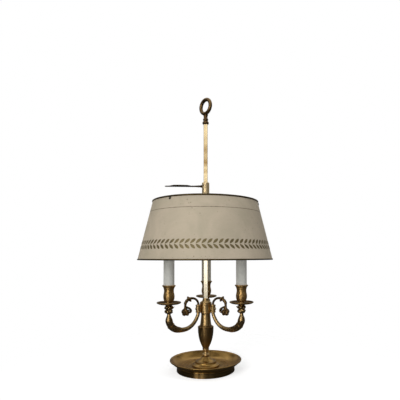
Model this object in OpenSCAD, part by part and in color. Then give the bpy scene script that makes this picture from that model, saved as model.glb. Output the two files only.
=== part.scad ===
// Three-light bouillotte table lamp with a sliding metal shade.
// Millimetres, +Z up, origin at the middle of the face it stands on.
// The front of the lamp looks along -Y; one arm points straight back.

/* [Overall] */
// Height of the lamp to the top of the ring
lamp_h = 656.5; // [640:0.5:690]
// Height of the candle drip pans above the table
pan_h = 165.8; // [160:0.2:172]
// Distance of each candle from the middle of the lamp
arm_reach = 95; // [90:1:100]

/* [Base] */
// Outer radius of the round skirt that the lamp stands on
skirt_r = 68.8; // [66:0.2:72]
// Outer radius of the tray's rolled rim
tray_r = 85; // [82:0.5:88]
// Height of the skirt's seam above the table; the base and stem are measured from it
seam_z = 2.8; // [2:0.1:4]
// Height of the top of the tray's rim above the seam
tray_h = 24.2; // [22:0.2:27]
// Height of the tray's floor above the seam
floor_z = 8.5; // [8:0.1:9.5]
// Thickness of the cast tray
tray_wall = 1.5; // [1.2:0.1:1.8]
// Bore of the cord bush at the back of the skirt
cord_bore = 5; // [4:0.5:5.5]

/* [Stem] */
// Largest radius of the urn
urn_r = 18.9; // [17:0.1:20]
// Radius of the hub that carries the arms
hub_r = 14.5; // [14:0.1:15.5]
// Radius of the tie tube that holds the stem together
tie_r = 4; // [3.5:0.1:4.2]

/* [Rod and ring] */
// Width of the square rod across its flats
rod_w = 9.65; // [9:0.05:10]
// Outer radius of the ring
ring_out_r = 21.2; // [20:0.1:23]
// Radius of the ring's hole
ring_hole_r = 12.4; // [12:0.1:14]
// Turn of the ring about the rod
ring_turn = -47; // [-60:1:60]

/* [Shade] */
// Radius of the shade at its top edge
shade_top_r = 125.4; // [122:0.2:128]
// Radius of the shade at its bottom edge
shade_bottom_r = 159.6; // [157:0.2:163]
// Height of the shade's bottom edge above the table, as it is set
shade_set = 263.9; // [255:0.1:270]
// Height of the shade from edge to edge
shade_h = 136.1; // [132:0.1:145]
// Thickness of the sheet of the shade
shade_wall = 0.8; // [0.6:0.1:1.2]
// Radius of the collar that slides on the rod
collar_r = 8.85; // [8.4:0.05:9.2]
// Free space round the rod inside the collar
collar_gap = 0.3; // [0.2:0.05:0.4]
// Turn of the shade's holder about the rod
spider_turn = 234; // [215:0.5:240]
// Length of the leaf key from the middle of the rod to its tip
key_reach = 98.7; // [90:0.1:105]

/* [Candles] */
// Outer radius of a candle sleeve
sleeve_r = 12.25; // [12:0.05:12.5]
// Length of a candle sleeve
sleeve_h = 82; // [78:1:86]
// Radius of a drip pan
pan_r = 27.5; // [26:0.1:29]

/* [Hidden] */

$fn = 64;
eps = 0.01;
ANGLES = [210, 330, 90];
left = ANGLES[0];
right = ANGLES[1];
back = ANGLES[2];
bronze = "#8a6a35";
dark_bronze = "#5d4626";
polished = "#c9a45c";

// heights of the joints between the stem's pieces, from the seam as all heights below
foot_top = 30;
spool_top = 47.2;
urn_top = 104.5;
column_top = 133.8;
hub_top = 156.5;
cap_top = 168;
cuff_bottom = 135;
cuff_top = 153.5;
cuff_reach = 20;
cuff_r = 6.2;
pan_z = pan_h - seam_z;
knop_bottom = pan_z - 25.5;
knop_top = pan_z - 2;
nipple_bottom = pan_z - 14;
ring_bar_r = (ring_out_r - ring_hole_r) / 2;
ring_mid_r = (ring_out_r + ring_hole_r) / 2;
ring_z = lamp_h - seam_z - ring_out_r;
rod_top = ring_z - 44.8;
stud_r = 2.5;
stud_depth = 11;
bush_z = 3.2;
bush_r = 3.5;
cavity_top = floor_z - tray_wall;
skirt_low = 0.4 - seam_z;
shade_slope = (shade_bottom_r - shade_top_r) / shade_h;
shade_z = shade_set - seam_z;
shade_top = shade_z + shade_h;
key_z = shade_top + 39.9;
holder_z = pan_z + 84;
socket_z = holder_z + 9;
key_bore = 3;
spider_z = shade_top - 13.6;
spider_t = 2;
rivet_z = shade_top - 4.4;
collar_low = spider_z + spider_t;
collar_top = shade_top + 49.3;
rim_bar_r = 1.6;

// ---- curves -------------------------------------------------------------

// Points of an arc round c, from angle a to angle b, in n steps
function arc(c, r, a, b, n) = [for (i = [0:n]) let (t = a + (b - a) * i / n) c + r * [cos(t), sin(t)]];

// Points of a cubic Bezier curve with end points p, s and handles q, r
function bezier(p, q, r, s, n) = [for (i = [0:n]) let (t = i / n, u = 1 - t)
    u * u * u * p + 3 * u * u * t * q + 3 * u * t * t * r + t * t * t * s];

function backward(list) = [for (i = [len(list) - 1:-1:0]) list[i]];

// One point of the smooth curve that runs through b and c, with a before and d after them
function between(a, b, c, d, t) = 0.5 * (2 * b + (c - a) * t
    + (2 * a - 5 * b + 4 * c - d) * t * t + (3 * b - a - 3 * c + d) * t * t * t);

// Smooth curve through all the points of a list, n steps from each to the next
function smooth(list, n) = let (last = len(list) - 1) concat(
    [for (i = [0:last - 1]) for (k = [0:n - 1])
        between(list[max(i - 1, 0)], list[i], list[i + 1], list[min(i + 2, last)], k / n)],
    [list[last]]);

function unit(v) = v / norm(v);

// Direction of an upright curve of [reach, height, radius] at point i; its ends stand upright
function heading(path, i, first, last_way) = i == 0 ? first
    : i == len(path) - 1 ? last_way
    : unit([path[i + 1][0] - path[i - 1][0], path[i + 1][1] - path[i - 1][1]]);

// Round bar along a curve of [reach, height, radius]; flute(row) is the share of the radius that
// the lengthwise flutes take at that row
module swept_bar(path, first, last_way, sides, flutes = 0, flute = function(p) 0) {
    rings = len(path);
    points = [for (i = [0:rings - 1]) for (j = [0:sides - 1])
        let (way = heading(path, i, first, last_way), a = 360 * j / sides,
            r = path[i][2] * (1 + flute(path[i]) * cos(flutes * a)))
        [path[i][0] + r * cos(a) * way[1], r * sin(a), path[i][1] - r * cos(a) * way[0]]];
    walls = [for (i = [0:rings - 2]) for (j = [0:sides - 1])
        let (a = i * sides + j, b = i * sides + (j + 1) % sides)
        each [[a, a + sides, b + sides], [a, b + sides, b]]];
    ends = [[for (j = [0:sides - 1]) j], [for (j = [sides - 1:-1:0]) (rings - 1) * sides + j]];
    polyhedron(points, concat(walls, ends), convexity = 6);
}

// Tapering lobe between two balls, each [reach, aside, height, radius]
module lobe(a, b) {
    hull() for (p = [a, b]) translate([p[0], p[1], p[2]]) sphere(r = p[3], $fn = 10);
}

module at_candle(angle) {
    rotate([0, 0, angle]) translate([arm_reach, 0, 0]) children();
}

module turned(profile) {
    rotate_extrude() polygon(profile);
}

// Turned piece with the tie tube's hole through it
module stem_piece(profile) {
    low = profile[0][1];
    high = profile[len(profile) - 1][1];
    turned(concat([[tie_r + 0.2, low]], profile, [[tie_r + 0.2, high]]));
}

// ---- base ---------------------------------------------------------------

module tray() {
    inner = bezier([skirt_r - 8.8, floor_z], [skirt_r - 0.8, floor_z],
        [tray_r - 10, floor_z + 6.5], [tray_r - 4.2, tray_h - 1.2], 8);
    outer = bezier([skirt_r - 8.6, cavity_top], [skirt_r + 0.2, cavity_top],
        [tray_r - 8.7, floor_z + 5.5], [tray_r - 3, tray_h - 3], 8);
    lip = arc([tray_r - 2.2, tray_h - 2.2], 2.2, 140, -100, 8);
    ridge = [[38.4, floor_z], [39.4, floor_z + 0.9], [40.8, floor_z + 0.9], [41.8, floor_z]];
    under_rim = [for (p = outer) if (p[0] > skirt_r + 0.6 && p[0] < tray_r - 4) p];
    under_floor = [for (p = outer) if (p[0] < skirt_r - tray_wall - 0.6) p];
    color(bronze) difference() {
        turned(concat([[tie_r + 0.2, floor_z]], ridge, inner, lip, backward(under_rim),
            [[skirt_r, 9.6], [skirt_r, skirt_low], [skirt_r - tray_wall, skirt_low],
                [skirt_r - tray_wall, 8.2]],
            backward(under_floor), [[tie_r + 0.2, cavity_top]]));
        translate([0, skirt_r - 6, bush_z]) rotate([-90, 0, 0]) cylinder(r = bush_r + 0.05, h = 12);
    }
}

module felt_pad() {
    color("#2f4a35") translate([0, 0, -seam_z]) cylinder(r = skirt_r - tray_wall - 0.1, h = 1);
}

module ballast_ring() {
    h = cavity_top + seam_z - 1;
    color("#4a4a4c") translate([0, 0, 1 - seam_z]) difference() {
        cylinder(r = 58, h = h);
        translate([0, 0, -1]) cylinder(r = 16, h = h + 2);
    }
}

module tie_tube() {
    color("#b9b4a8") translate([0, 0, 1.6]) difference() {
        cylinder(r = tie_r, h = 142);
        translate([0, 0, -1]) cylinder(r = tie_r - 1.4, h = 144);
    }
}

module tie_washer() {
    color("#a9a9ad") translate([0, 0, cavity_top - 1.2]) difference() {
        cylinder(r = 11, h = 1.2);
        translate([0, 0, -1]) cylinder(r = tie_r + 0.2, h = 4);
    }
}

module tie_nut() {
    color("#c0a25a") translate([0, 0, cavity_top - 4.6]) difference() {
        cylinder(r = 7.5, h = 3.4, $fn = 6);
        translate([0, 0, -1]) cylinder(r = tie_r, h = 6);
    }
}

module cord_bush() {
    color("#1d1d1d") translate([0, 0, bush_z]) rotate([-90, 0, 0]) difference() {
        union() {
            translate([0, 0, skirt_r - 4]) cylinder(r = bush_r, h = 4.6);
            translate([0, 0, skirt_r]) cylinder(r1 = bush_r + 0.9, r2 = bush_r + 0.4, h = 1.4);
        }
        translate([0, 0, skirt_r - 6]) cylinder(r = cord_bore / 2, h = 10);
    }
}

// ---- stem ---------------------------------------------------------------

module stem_foot() {
    color(bronze) stem_piece(concat(
        [[32.4, floor_z], [32.6, floor_z + 1.2], [32.4, 12], [31.4, 12.9]],
        bezier([31.4, 12.9], [27.5, 13.4], [25.6, 14.6], [24.8, 17.4], 4),
        [[24.4, 18.6], [23.4, 19.4]],
        bezier([23.4, 19.4], [15.5, 20.2], [13, 25.5], [8.4, foot_top], 6)));
}

module spool() {
    bead = arc([5.6, 33.9], 3.3, -62, 74, 8);
    color(polished) stem_piece(concat([[6.6, foot_top]], bead,
        bezier([6.2, 37.6], [4.9, 39.6], [4.9, 42.4], [6.4, 44.8], 5),
        [[7.4, 45.3], [7.5, 46.4], [6.9, spool_top]]));
}

module urn() {
    body = bezier([6.9, 50.5], [11, 61], [17.2, 68], [urn_r - 0.3, 96], 10);
    color(dark_bronze) stem_piece(concat([[6.9, spool_top]], body,
        arc([urn_r - 1.9, 99.6], 1.9, -30, 80, 5),
        [[urn_r - 3.4, 102], [13.9, 103.4], [13.6, urn_top]]));
}

module column() {
    color(polished) stem_piece(concat([[13.5, urn_top], [13.6, urn_top + 1.4], [13, urn_top + 2.2]],
        bezier([13, urn_top + 2.2], [12, 116], [11.2, 122], [10.9, 130.6], 5),
        [[11.9, 131.4], [12.1, 132.6], [11.6, column_top]]));
}

module arm_hub() {
    color(polished) stem_piece([[13.3, column_top], [hub_r - 0.1, 134.8], [hub_r, 136.4],
        [hub_r - 0.7, 137.2], [hub_r - 0.7, 152.6], [hub_r, 153.5], [hub_r, 155.4], [13.6, hub_top]]);
}

// Turned cap whose square hole fits the rod
module hub_cap() {
    color(bronze) difference() {
        turned(concat([[0, hub_top], [13.5, hub_top], [14.1, 157.9]],
            bezier([14.1, 158.2], [11.2, 159.6], [7.8, 161.2], [7.3, 166], 6),
            [[7.3, cap_top], [0, cap_top]]));
        translate([0, 0, hub_top - 1]) linear_extrude(20) square(rod_w + 0.1, center = true);
    }
}

// ---- rod and ring -------------------------------------------------------

module rod_section(w) {
    h = w / 2;
    c = 0.5;
    polygon([[h, h - c], [h - c, h], [c - h, h], [-h, h - c],
        [-h, c - h], [c - h, -h], [h - c, -h], [h, c - h]]);
}

module rod() {
    color(polished) difference() {
        union() {
            translate([0, 0, hub_top]) linear_extrude(rod_top - hub_top) rod_section(rod_w);
            translate([0, 0, hub_top - 10]) cylinder(r = tie_r, h = 10 + eps);
        }
        translate([0, 0, rod_top - stud_depth - 1]) cylinder(r = stud_r + 0.1, h = stud_depth + 2);
    }
}

module finial_base() {
    color(dark_bronze) difference() {
        translate([0, 0, rod_top]) turned(concat(
            [[0, -stud_depth], [stud_r, -stud_depth], [stud_r, 0], [5.8, 0]],
            arc([4, 4.1], 3.9, -70, 70, 7), [[5.6, 8.8], [5.6, 9.6]],
            arc([4.7, 12.3], 1.9, -60, 60, 5),
            [[5.2, 16], [4.8, 18.8], [5.2, 22], [6.2, 25.2], [0, 25.2]]));
        finial_bar();
    }
}

module finial_bar() {
    translate([0, 0, ring_z]) rotate([0, 0, ring_turn]) rotate([90, 0, 0])
        rotate_extrude() translate([ring_mid_r, 0]) circle(r = ring_bar_r, $fn = 32);
}

module finial_ring() {
    color(dark_bronze) finial_bar();
}

// ---- arms ---------------------------------------------------------------

// The tables of the arms are drawn for candles at this reach and pans at this height
DRAWN_REACH = 95;
DRAWN_PAN_Z = 163;

// A row of a table moved out and up with the candle that the arm carries
function placed(row) = let (out = (row[0] - cuff_reach) / (DRAWN_REACH - cuff_reach))
    [cuff_reach + out * (arm_reach - cuff_reach), row[1] + out * (pan_z - DRAWN_PAN_Z), row[2]];

// Each row: reach from the middle of the lamp, height, radius of the horn
HORN = [[20, 135, 4.1], [20.8, 130.5, 4.1], [23, 125, 4.2], [28.5, 115.5, 4.3], [37, 106.5, 4.5],
    [48, 100.6, 4.9], [60, 98.6, 5.4], [71, 99.6, 6], [81, 103.2, 6.8], [88.5, 109.2, 7.5],
    [92.8, 116, 8.1], [94.6, 123, 8.2], [95, 129.6, 6.4], [95, 134.2, 4.5], [95, 137.5, 4.1]];

// Each row: reach, height, radius of the thin scroll that rises from the cuff
STALK = [[20, 153.5, 2.8], [20.5, 158, 2.6], [23, 163, 2.6], [28, 167.4, 2.6], [34, 169.5, 2.7],
    [40, 169.4, 3.1], [45.5, 167.8, 3.7], [50, 164.6, 3.4], [52.8, 160, 3], [54, 155, 2.8],
    [54.4, 150.5, 2.5], [54.2, 147, 3.4], [53.2, 143.4, 4.6], [51.8, 140, 5], [50.4, 137, 3.6]];

// Balls of the curled petal, hooked round its middle
CURL = [[50, 0, 148.4, 1.7], [44.6, 0, 149.4, 1.8], [39.4, 0, 146.4, 2], [38, 0, 141.4, 2],
    [41, 0, 137.4, 2], [46.4, 0, 136.4, 2.2]];

// Horn that hangs from the cuff, swings out and rises into its leafy sheath
module arm(angle) {
    path = smooth([for (row = HORN) placed(row)], 2);
    start = arm_reach - 29;
    color(bronze) rotate([0, 0, angle]) swept_bar(path, [0, -1], [0, 1], 14, 7,
        function(row) row[0] < start ? 0
            : 0.09 * sin(180 * min(1, (row[0] - start) / 26)) + (row[0] > arm_reach - 3 ? 0.05 : 0));
}

module scroll(angle) {
    color(bronze) rotate([0, 0, angle]) {
        swept_bar(smooth(STALK, 2), [0, 1], unit([-1, -2]), 10);
        // petals of the flower
        lobe([54, 0, 146, 2.4], [62, 0, 141.4, 3.5]);
        lobe([53, 0, 142, 3], [57.6, 0, 135.6, 3.3]);
        lobe([52, 0, 140, 3], [50, 0, 134.2, 3.2]);
        for (side = [-1, 1]) lobe([52.5, side, 143, 3], [51, 6 * side, 139, 2.8]);
        for (i = [0:len(CURL) - 2]) lobe(CURL[i], CURL[i + 1]);
        // leaf that bursts from the top of the curve
        lobe([45, 0, 168.4, 2.8], [47.8, 0, 173.2, 1.8]);
        lobe([44, 0, 167.4, 2.6], [39, 0, 163.6, 1.8]);
        for (side = [-1, 1]) lobe([46.5, side, 167.6, 2.6], [43.5, 5.4 * side, 168.6, 1.4]);
    }
}

// Banded clasp that holds a horn and its scroll against the hub
module cuff(angle) {
    h = cuff_top - cuff_bottom;
    color(bronze) difference() {
        rotate([0, 0, angle]) translate([cuff_reach, 0, cuff_bottom]) rotate_extrude()
            polygon([[0, 0], [cuff_r, 0], [cuff_r + 0.6, 0.9], [cuff_r + 0.6, 2], [cuff_r - 0.3, 3.2],
                [cuff_r - 0.3, h - 3.2], [cuff_r + 0.6, h - 2], [cuff_r + 0.6, h - 0.9], [cuff_r, h],
                [0, h]]);
        translate([0, 0, column_top - 1]) cylinder(r = hub_r + 0.05, h = 30);
        screw_place(angle) cylinder(r = 1.6, h = 30, center = true);
    }
}

module screw_place(angle) {
    rotate([0, 0, angle]) translate([cuff_reach, 0, (cuff_bottom + cuff_top) / 2])
        rotate([0, 90, 0]) children();
}

module cuff_screws() {
    color(polished) for (angle = ANGLES) screw_place(angle) {
        translate([0, 0, hub_r - 0.7 - cuff_reach]) cylinder(r = 1.5, h = cuff_reach - hub_r + cuff_r);
        translate([0, 0, cuff_r - 0.3]) rotate_extrude()
            polygon([[0, 0], [3, 0], [3, 0.8], [2.4, 1.8], [1.2, 2.4], [0, 2.5]]);
    }
}

// ---- candles ------------------------------------------------------------

// Rosette below a drip pan: a waisted core, two rows of knobs and a leaf point towards the stem
module knop(angle) {
    h = knop_top - knop_bottom;
    core = concat([[0, 0], [4.2, 0]], bezier([5.4, 0.9], [8.8, 2.6], [8.2, 10.5], [5.6, 13.5], 5),
        bezier([6, 14.5], [7, 17.5], [8, 19.5], [8.6, 21.1], 3), [[8.6, h], [0, h]]);
    color(bronze) at_candle(angle) difference() {
        translate([0, 0, knop_bottom]) {
            turned(core);
            for (i = [0:4]) rotate([0, 0, 72 * i]) translate([5.3, 0, 5.3]) sphere(r = 3.6, $fn = 24);
            for (i = [0:4]) rotate([0, 0, 72 * i + 36]) translate([5.7, 0, 12.9])
                sphere(r = 3.4, $fn = 24);
            translate([-5, 0, 13.3]) rotate([0, -78, 0]) cylinder(r1 = 2.4, r2 = 0.6, h = 9, $fn = 24);
        }
        translate([0, 0, nipple_bottom]) cylinder(r = tie_r, h = 20);
    }
}

module drip_pan(angle) {
    top = pan_z + 1.4;
    color(bronze) at_candle(angle) turned(concat(
        [[tie_r + 0.1, knop_top], [10, knop_top]],
        bezier([10, knop_top], [16, pan_z - 3.8], [22, pan_z - 2.8], [pan_r - 0.8, top - 1.4], 5),
        arc([pan_r - 0.8, top - 0.7], 0.8, -60, 120, 4),
        bezier([pan_r - 2, top - 0.5], [21.5, pan_z - 1.3], [16, pan_z - 1.8], [10, pan_z - 0.6], 5),
        [[tie_r + 0.1, pan_z - 0.6]]));
}

// Vase-shaped cup that the candle sleeve stands in
module cup(angle) {
    z = pan_z - 0.6;
    outer = concat([[6.6, z], [7, z + 1.2]],
        bezier([7.2, z + 1.6], [11.6, z + 4], [13.4, z + 11], [12.5, z + 18.6], 6),
        bezier([12.2, z + 20], [10.6, z + 26], [10.6, z + 30], [12.6, z + 35], 5),
        [[14.6, z + 37.4], [15.2, z + 38.6], [15.2, z + 40], [14.6, z + 40.6]]);
    inner = [[sleeve_r + 0.1, z + 40.6], [sleeve_r + 0.1, z + 37], [9.4, z + 36.4], [9.4, z + 9],
        [6, z + 4.4], [tie_r + 0.1, z + 4.4]];
    color(bronze) at_candle(angle) turned(concat([[tie_r + 0.1, z]], outer, inner));
}

module nipples() {
    h = holder_z + 6 - nipple_bottom;
    color("#b9b4a8") for (angle = ANGLES) at_candle(angle) translate([0, 0, nipple_bottom]) difference() {
        cylinder(r = tie_r, h = h);
        translate([0, 0, -1]) cylinder(r = tie_r - 1.4, h = h + 2);
    }
}

// Socket for a small screw-cap bulb, screwed on top of the nipple
module lampholder(angle) {
    color("#e9e4d6") at_candle(angle) translate([0, 0, holder_z]) difference() {
        rotate_extrude() polygon([[0, 0], [8.6, 0], [10, 1.6], [10, 14], [10.7, 15], [10.7, 31],
            [9.8, 32], [0, 32]]);
        translate([0, 0, -1]) cylinder(r = tie_r, h = 7);
        translate([0, 0, socket_z - holder_z]) cylinder(r = 7.1, h = 30);
    }
}

module sleeve(angle) {
    z = pan_z - 0.6 + 37;
    color("#d9d8d2") at_candle(angle) turned([[sleeve_r - 1.2, z], [sleeve_r, z],
        [sleeve_r, z + sleeve_h - 1], [sleeve_r - 0.4, z + sleeve_h], [sleeve_r - 1.2, z + sleeve_h]]);
}

module bulb_cap(angle) {
    color("#c9b37a") at_candle(angle) translate([0, 0, socket_z]) rotate_extrude()
        polygon([[0, 0], [2.6, 0], [3.4, 1.4], [6.2, 3.6], [6.9, 4.6], [6.9, 21.6], [7.3, 25.5], [0, 25.5]]);
}

module bulb_glass(angle) {
    z = socket_z + 25.5;
    color("#f4f1e8") at_candle(angle) turned(concat([[0, z], [7.3, z]],
        bezier([7.4, z + 0.6], [9.5, z + 8], [17.5, z + 12], [17.5, z + 25], 7),
        bezier([17.4, z + 27], [17, z + 42], [7.5, z + 58], [0, z + 70], 9)));
}

// ---- shade --------------------------------------------------------------

// Outer radius of the shade at height z
function shade_r(z) = shade_top_r + (shade_top - z) * shade_slope;

module shade_shell() {
    color("#bfb39c") turned([[shade_r(shade_z) - shade_wall, shade_z], [shade_r(shade_z), shade_z],
        [shade_top_r, shade_top], [shade_top_r - shade_wall, shade_top]]);
}

// Rolled trim that grips an edge of the sheet; way is 1 at the top edge and -1 at the bottom one
module rim(z, way) {
    lean = atan(shade_slope);
    start = way > 0 ? lean - 90 : lean + 90;
    half = asin(shade_wall / 2 / rim_bar_r);
    middle = [shade_r(z) - shade_wall / 2, z];
    color(polished) turned(concat(arc(middle, rim_bar_r, start + half, start + 360 - half, 22),
        [middle - way * [shade_wall / 2, 0], middle + way * [shade_wall / 2, 0]]));
}

// Tube that slides on the square rod, with the bore for the key's screw
module shade_collar() {
    color(polished) difference() {
        turned(concat([[0, collar_low], [collar_r, collar_low], [collar_r, collar_top - 2.4]],
            arc([collar_r - 2.4, collar_top - 2.4], 2.4, 0, 90, 4), [[0, collar_top]]));
        translate([0, 0, collar_low - 1]) linear_extrude(collar_top - collar_low + 2)
            square(rod_w + 2 * collar_gap, center = true);
        translate([0, 0, key_z]) rotate([0, -90, 0]) cylinder(r = key_bore + 0.05, h = 12);
    }
}

// Flat holder with three arms, each ending in a tab that lies against the sheet
module spider() {
    tab_h = 11.4;
    arm_w = 9;
    color(polished) difference() {
        intersection() {
            union() {
                translate([0, 0, spider_z]) cylinder(r = 15, h = spider_t);
                for (i = [0:2]) rotate([0, 0, spider_turn + 120 * i]) {
                    translate([0, -arm_w / 2, spider_z]) cube([140, arm_w, spider_t]);
                    translate([118, -arm_w / 2, spider_z]) cube([30, arm_w, tab_h]);
                }
            }
            shade_core(shade_wall);
        }
        difference() {
            translate([0, 0, spider_z + spider_t]) cylinder(r = 200, h = tab_h);
            translate([0, 0, spider_z + spider_t]) shade_ring(shade_wall, spider_t);
        }
        translate([0, 0, spider_z - 1]) linear_extrude(spider_t + 2)
            square(rod_w + 2 * collar_gap, center = true);
    }
}

// Everything inside the sheet, left clear of its inner face by inset
module shade_core(inset) {
    turned([[0, shade_z + 100], [shade_r(shade_z + 100) - inset, shade_z + 100],
        [shade_r(shade_top) - inset, shade_top], [0, shade_top]]);
}

// Conical layer of the given thickness just inside the sheet, measured from the spider's arms up
module shade_ring(inset, thick) {
    translate([0, 0, -collar_low]) turned([[shade_r(collar_low) - inset - thick, collar_low],
        [shade_r(collar_low) - inset, collar_low], [shade_r(shade_top) - inset, shade_top],
        [shade_r(shade_top) - inset - thick, shade_top]]);
}

// Round-headed rivets, square to the sheet, that clinch the tabs to it
module spider_rivets() {
    grip = shade_wall + spider_t;
    color(dark_bronze) for (i = [0:2]) rotate([0, 0, spider_turn + 120 * i])
        translate([shade_r(rivet_z), 0, rivet_z]) rotate([0, 90 - atan(shade_slope), 0])
            rotate_extrude() polygon([[0, -grip - 1], [1.6, -grip - 0.9], [2.3, -grip], [1.4, -grip],
                [1.4, 0], [2.4, 0], [1.7, 0.9], [0, 1.2]]);
}

// Thumb key: a screw through the collar with a flat leaf for a handle
module leaf_key() {
    tip = [-key_reach, 0];
    leaf = concat(bezier([-13, 1.6], [-30, 3.4], [-48, 8.6], [-68, 8.8], 7),
        bezier([-70, 8.8], [-80, 8.4], [-90, 4.4], tip, 6));
    color(dark_bronze) translate([0, 0, key_z]) {
        translate([0, 0, -1.1]) linear_extrude(2.2)
            polygon(concat(leaf, backward([for (p = leaf) if (p[0] > tip[0]) [p[0], -p[1]]])));
        rotate([0, -90, 0]) {
            translate([0, 0, rod_w / 2 + 0.15]) cylinder(r = key_bore, h = 5.6);
            translate([0, 0, 10.4]) cylinder(r1 = 2.2, r2 = 2, h = 4);
            translate([0, 0, 14]) cylinder(r1 = 2, r2 = 1.2, h = key_reach - 22);
        }
    }
}

// ---- assembly -----------------------------------------------------------

translate([0, 0, seam_z]) {
    tray();
    felt_pad();
    ballast_ring();
    tie_tube();
    tie_washer();
    tie_nut();
    cord_bush();
    stem_foot();
    spool();
    urn();
    column();
    arm_hub();
    hub_cap();
    rod();
    finial_base();
    finial_ring();
    arm(left);  // arm_left
    arm(right);  // arm_right
    arm(back);  // arm_back
    scroll(left);  // scroll_left
    scroll(right);  // scroll_right
    scroll(back);  // scroll_back
    cuff(left);  // cuff_left
    cuff(right);  // cuff_right
    cuff(back);  // cuff_back
    cuff_screws();
    knop(left);  // knop_left
    knop(right);  // knop_right
    knop(back);  // knop_back
    drip_pan(left);  // drip_pan_left
    drip_pan(right);  // drip_pan_right
    drip_pan(back);  // drip_pan_back
    cup(left);  // cup_left
    cup(right);  // cup_right
    cup(back);  // cup_back
    nipples();
    lampholder(left);  // lampholder_left
    lampholder(right);  // lampholder_right
    lampholder(back);  // lampholder_back
    sleeve(left);  // sleeve_left
    sleeve(right);  // sleeve_right
    sleeve(back);  // sleeve_back
    bulb_cap(left);  // bulb_cap_left
    bulb_cap(right);  // bulb_cap_right
    bulb_cap(back);  // bulb_cap_back
    bulb_glass(left);  // bulb_glass_left
    bulb_glass(right);  // bulb_glass_right
    bulb_glass(back);  // bulb_glass_back
    shade_shell();
    rim(shade_top, 1);  // rim_top
    rim(shade_z, -1);  // rim_bottom
    shade_collar();
    spider();
    spider_rivets();
    leaf_key();
}
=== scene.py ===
"""Looks of a three-light bouillotte lamp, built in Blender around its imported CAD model.

Outlines are written in millimetres in the lamp's own frame: +Z up along the rod, -Y to the front.
"""

import bmesh
import bpy
import numpy as np
from mathutils import Euler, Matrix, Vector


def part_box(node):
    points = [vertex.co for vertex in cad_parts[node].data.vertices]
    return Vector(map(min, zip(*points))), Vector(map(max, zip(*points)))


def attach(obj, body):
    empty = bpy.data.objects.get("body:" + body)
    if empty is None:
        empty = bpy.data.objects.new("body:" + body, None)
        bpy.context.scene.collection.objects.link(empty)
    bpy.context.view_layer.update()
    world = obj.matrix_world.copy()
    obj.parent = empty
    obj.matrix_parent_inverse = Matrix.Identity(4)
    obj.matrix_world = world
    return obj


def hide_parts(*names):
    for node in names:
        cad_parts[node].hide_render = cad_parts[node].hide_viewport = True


bl_info = {
    "name": "Three-light bouillotte lamp",
    "version": (1, 0, 0),
    "blender": (4, 5, 0),
    "location": "3D View > Sidebar > Lamp",
    "description": "Builds the turned, cast and painted pieces of a bouillotte lamp on its CAD frame",
    "category": "Add Mesh",
}

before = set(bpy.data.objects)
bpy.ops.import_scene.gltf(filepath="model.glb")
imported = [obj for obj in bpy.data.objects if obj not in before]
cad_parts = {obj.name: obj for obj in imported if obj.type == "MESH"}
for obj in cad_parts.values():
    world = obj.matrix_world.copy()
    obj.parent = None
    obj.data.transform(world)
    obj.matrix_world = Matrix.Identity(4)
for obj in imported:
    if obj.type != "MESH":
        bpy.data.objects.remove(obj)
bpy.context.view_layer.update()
MM = 0.001

# All heights are measured from a seam of the tray, which lies this far below its floor.
SEAM_BELOW_FLOOR = 8.5
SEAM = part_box("stem_foot")[0][2] / MM - SEAM_BELOW_FLOOR


def low(node, axis=2):
    """Lowest coordinate of a CAD node on one axis, in millimetres; heights are from the seam."""
    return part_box(node)[0][axis] / MM - (SEAM if axis == 2 else 0)


def high(node, axis=2):
    """Highest coordinate of a CAD node on one axis, in millimetres; heights are from the seam."""
    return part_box(node)[1][axis] / MM - (SEAM if axis == 2 else 0)


def width(node, axis=0):
    """Half of a CAD node's extent on one axis, in millimetres."""
    return (high(node, axis) - low(node, axis)) / 2


# Heights and radii that the frame gives
FLOOR_Z = low("stem_foot")
FOOT_TOP = high("stem_foot")
SPOOL_TOP = high("spool")
URN_TOP = high("urn")
COLUMN_TOP = high("column")
HUB_TOP = high("arm_hub")
HUB_R = width("arm_hub")
CAP_TOP = high("hub_cap")
ROD_TOP = high("rod")
RING_TOP = high("finial_ring")
TRAY_R = width("tray")
TRAY_TOP = high("tray")
CUFF_LOW = low("cuff_back")
CUFF_TOP = high("cuff_back")
CUFF_MIDDLE = (CUFF_LOW + CUFF_TOP) / 2
CANDLE_REACH = (low("sleeve_back", 1) + high("sleeve_back", 1)) / 2
KNOP_LOW = low("knop_back")
PAN_TOP = high("drip_pan_back")
PAN_R = width("drip_pan_back")
CUP_LOW = low("cup_back")
SLEEVE_R = width("sleeve_back")
SLEEVE_LOW = low("sleeve_back")
SLEEVE_TOP = high("sleeve_back")
GLASS_LOW = low("bulb_glass_back")
SHADE_LOW = low("shade_shell")
SHADE_TOP = high("shade_shell")
SHADE_R = width("shade_shell")
RIVET_Z = (low("spider_rivets") + high("spider_rivets")) / 2
KEY_Z = (low("leaf_key") + high("leaf_key")) / 2
KEY_REACH = -low("leaf_key", 0)

# Sizes that the frame's boxes don't show
BORE = 4.2  # radius of the way for the rod and the nipples
SKIRT_R = 68.8  # outside of the tray's skirt
SKIRT_LOW = 0.4 - SEAM  # its lower edge, which the felt lifts off the table
CUFF_REACH = 20.0  # from the rod's middle to a clasp's
PAN_Z = PAN_TOP - 1.4  # level that the pan's dish is drawn from
KNOP_TOP = PAN_Z - 2
SHOULDER_Z = 96.0  # where the urn is widest
SHADE_TOP_R = 125.4
SHADE_WALL = 0.8
SHADE_SIDES = 256
SHADE_SLOPE = (SHADE_R - SHADE_TOP_R) / (SHADE_TOP - SHADE_LOW)

# Directions of the arms in degrees from +X
ARMS = {"left": 210, "right": 330, "back": 90}


# ---- settings ---------------------------------------------------------------


def length(name, description, default):
    """A length property in metres."""
    return bpy.props.FloatProperty(
        name=name, description=description, default=default, min=0, unit="LENGTH")


def colour(name, description, default):
    """A colour property, in linear light."""
    return bpy.props.FloatVectorProperty(
        name=name, description=description, default=default, min=0, max=1, subtype="COLOR")


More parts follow.
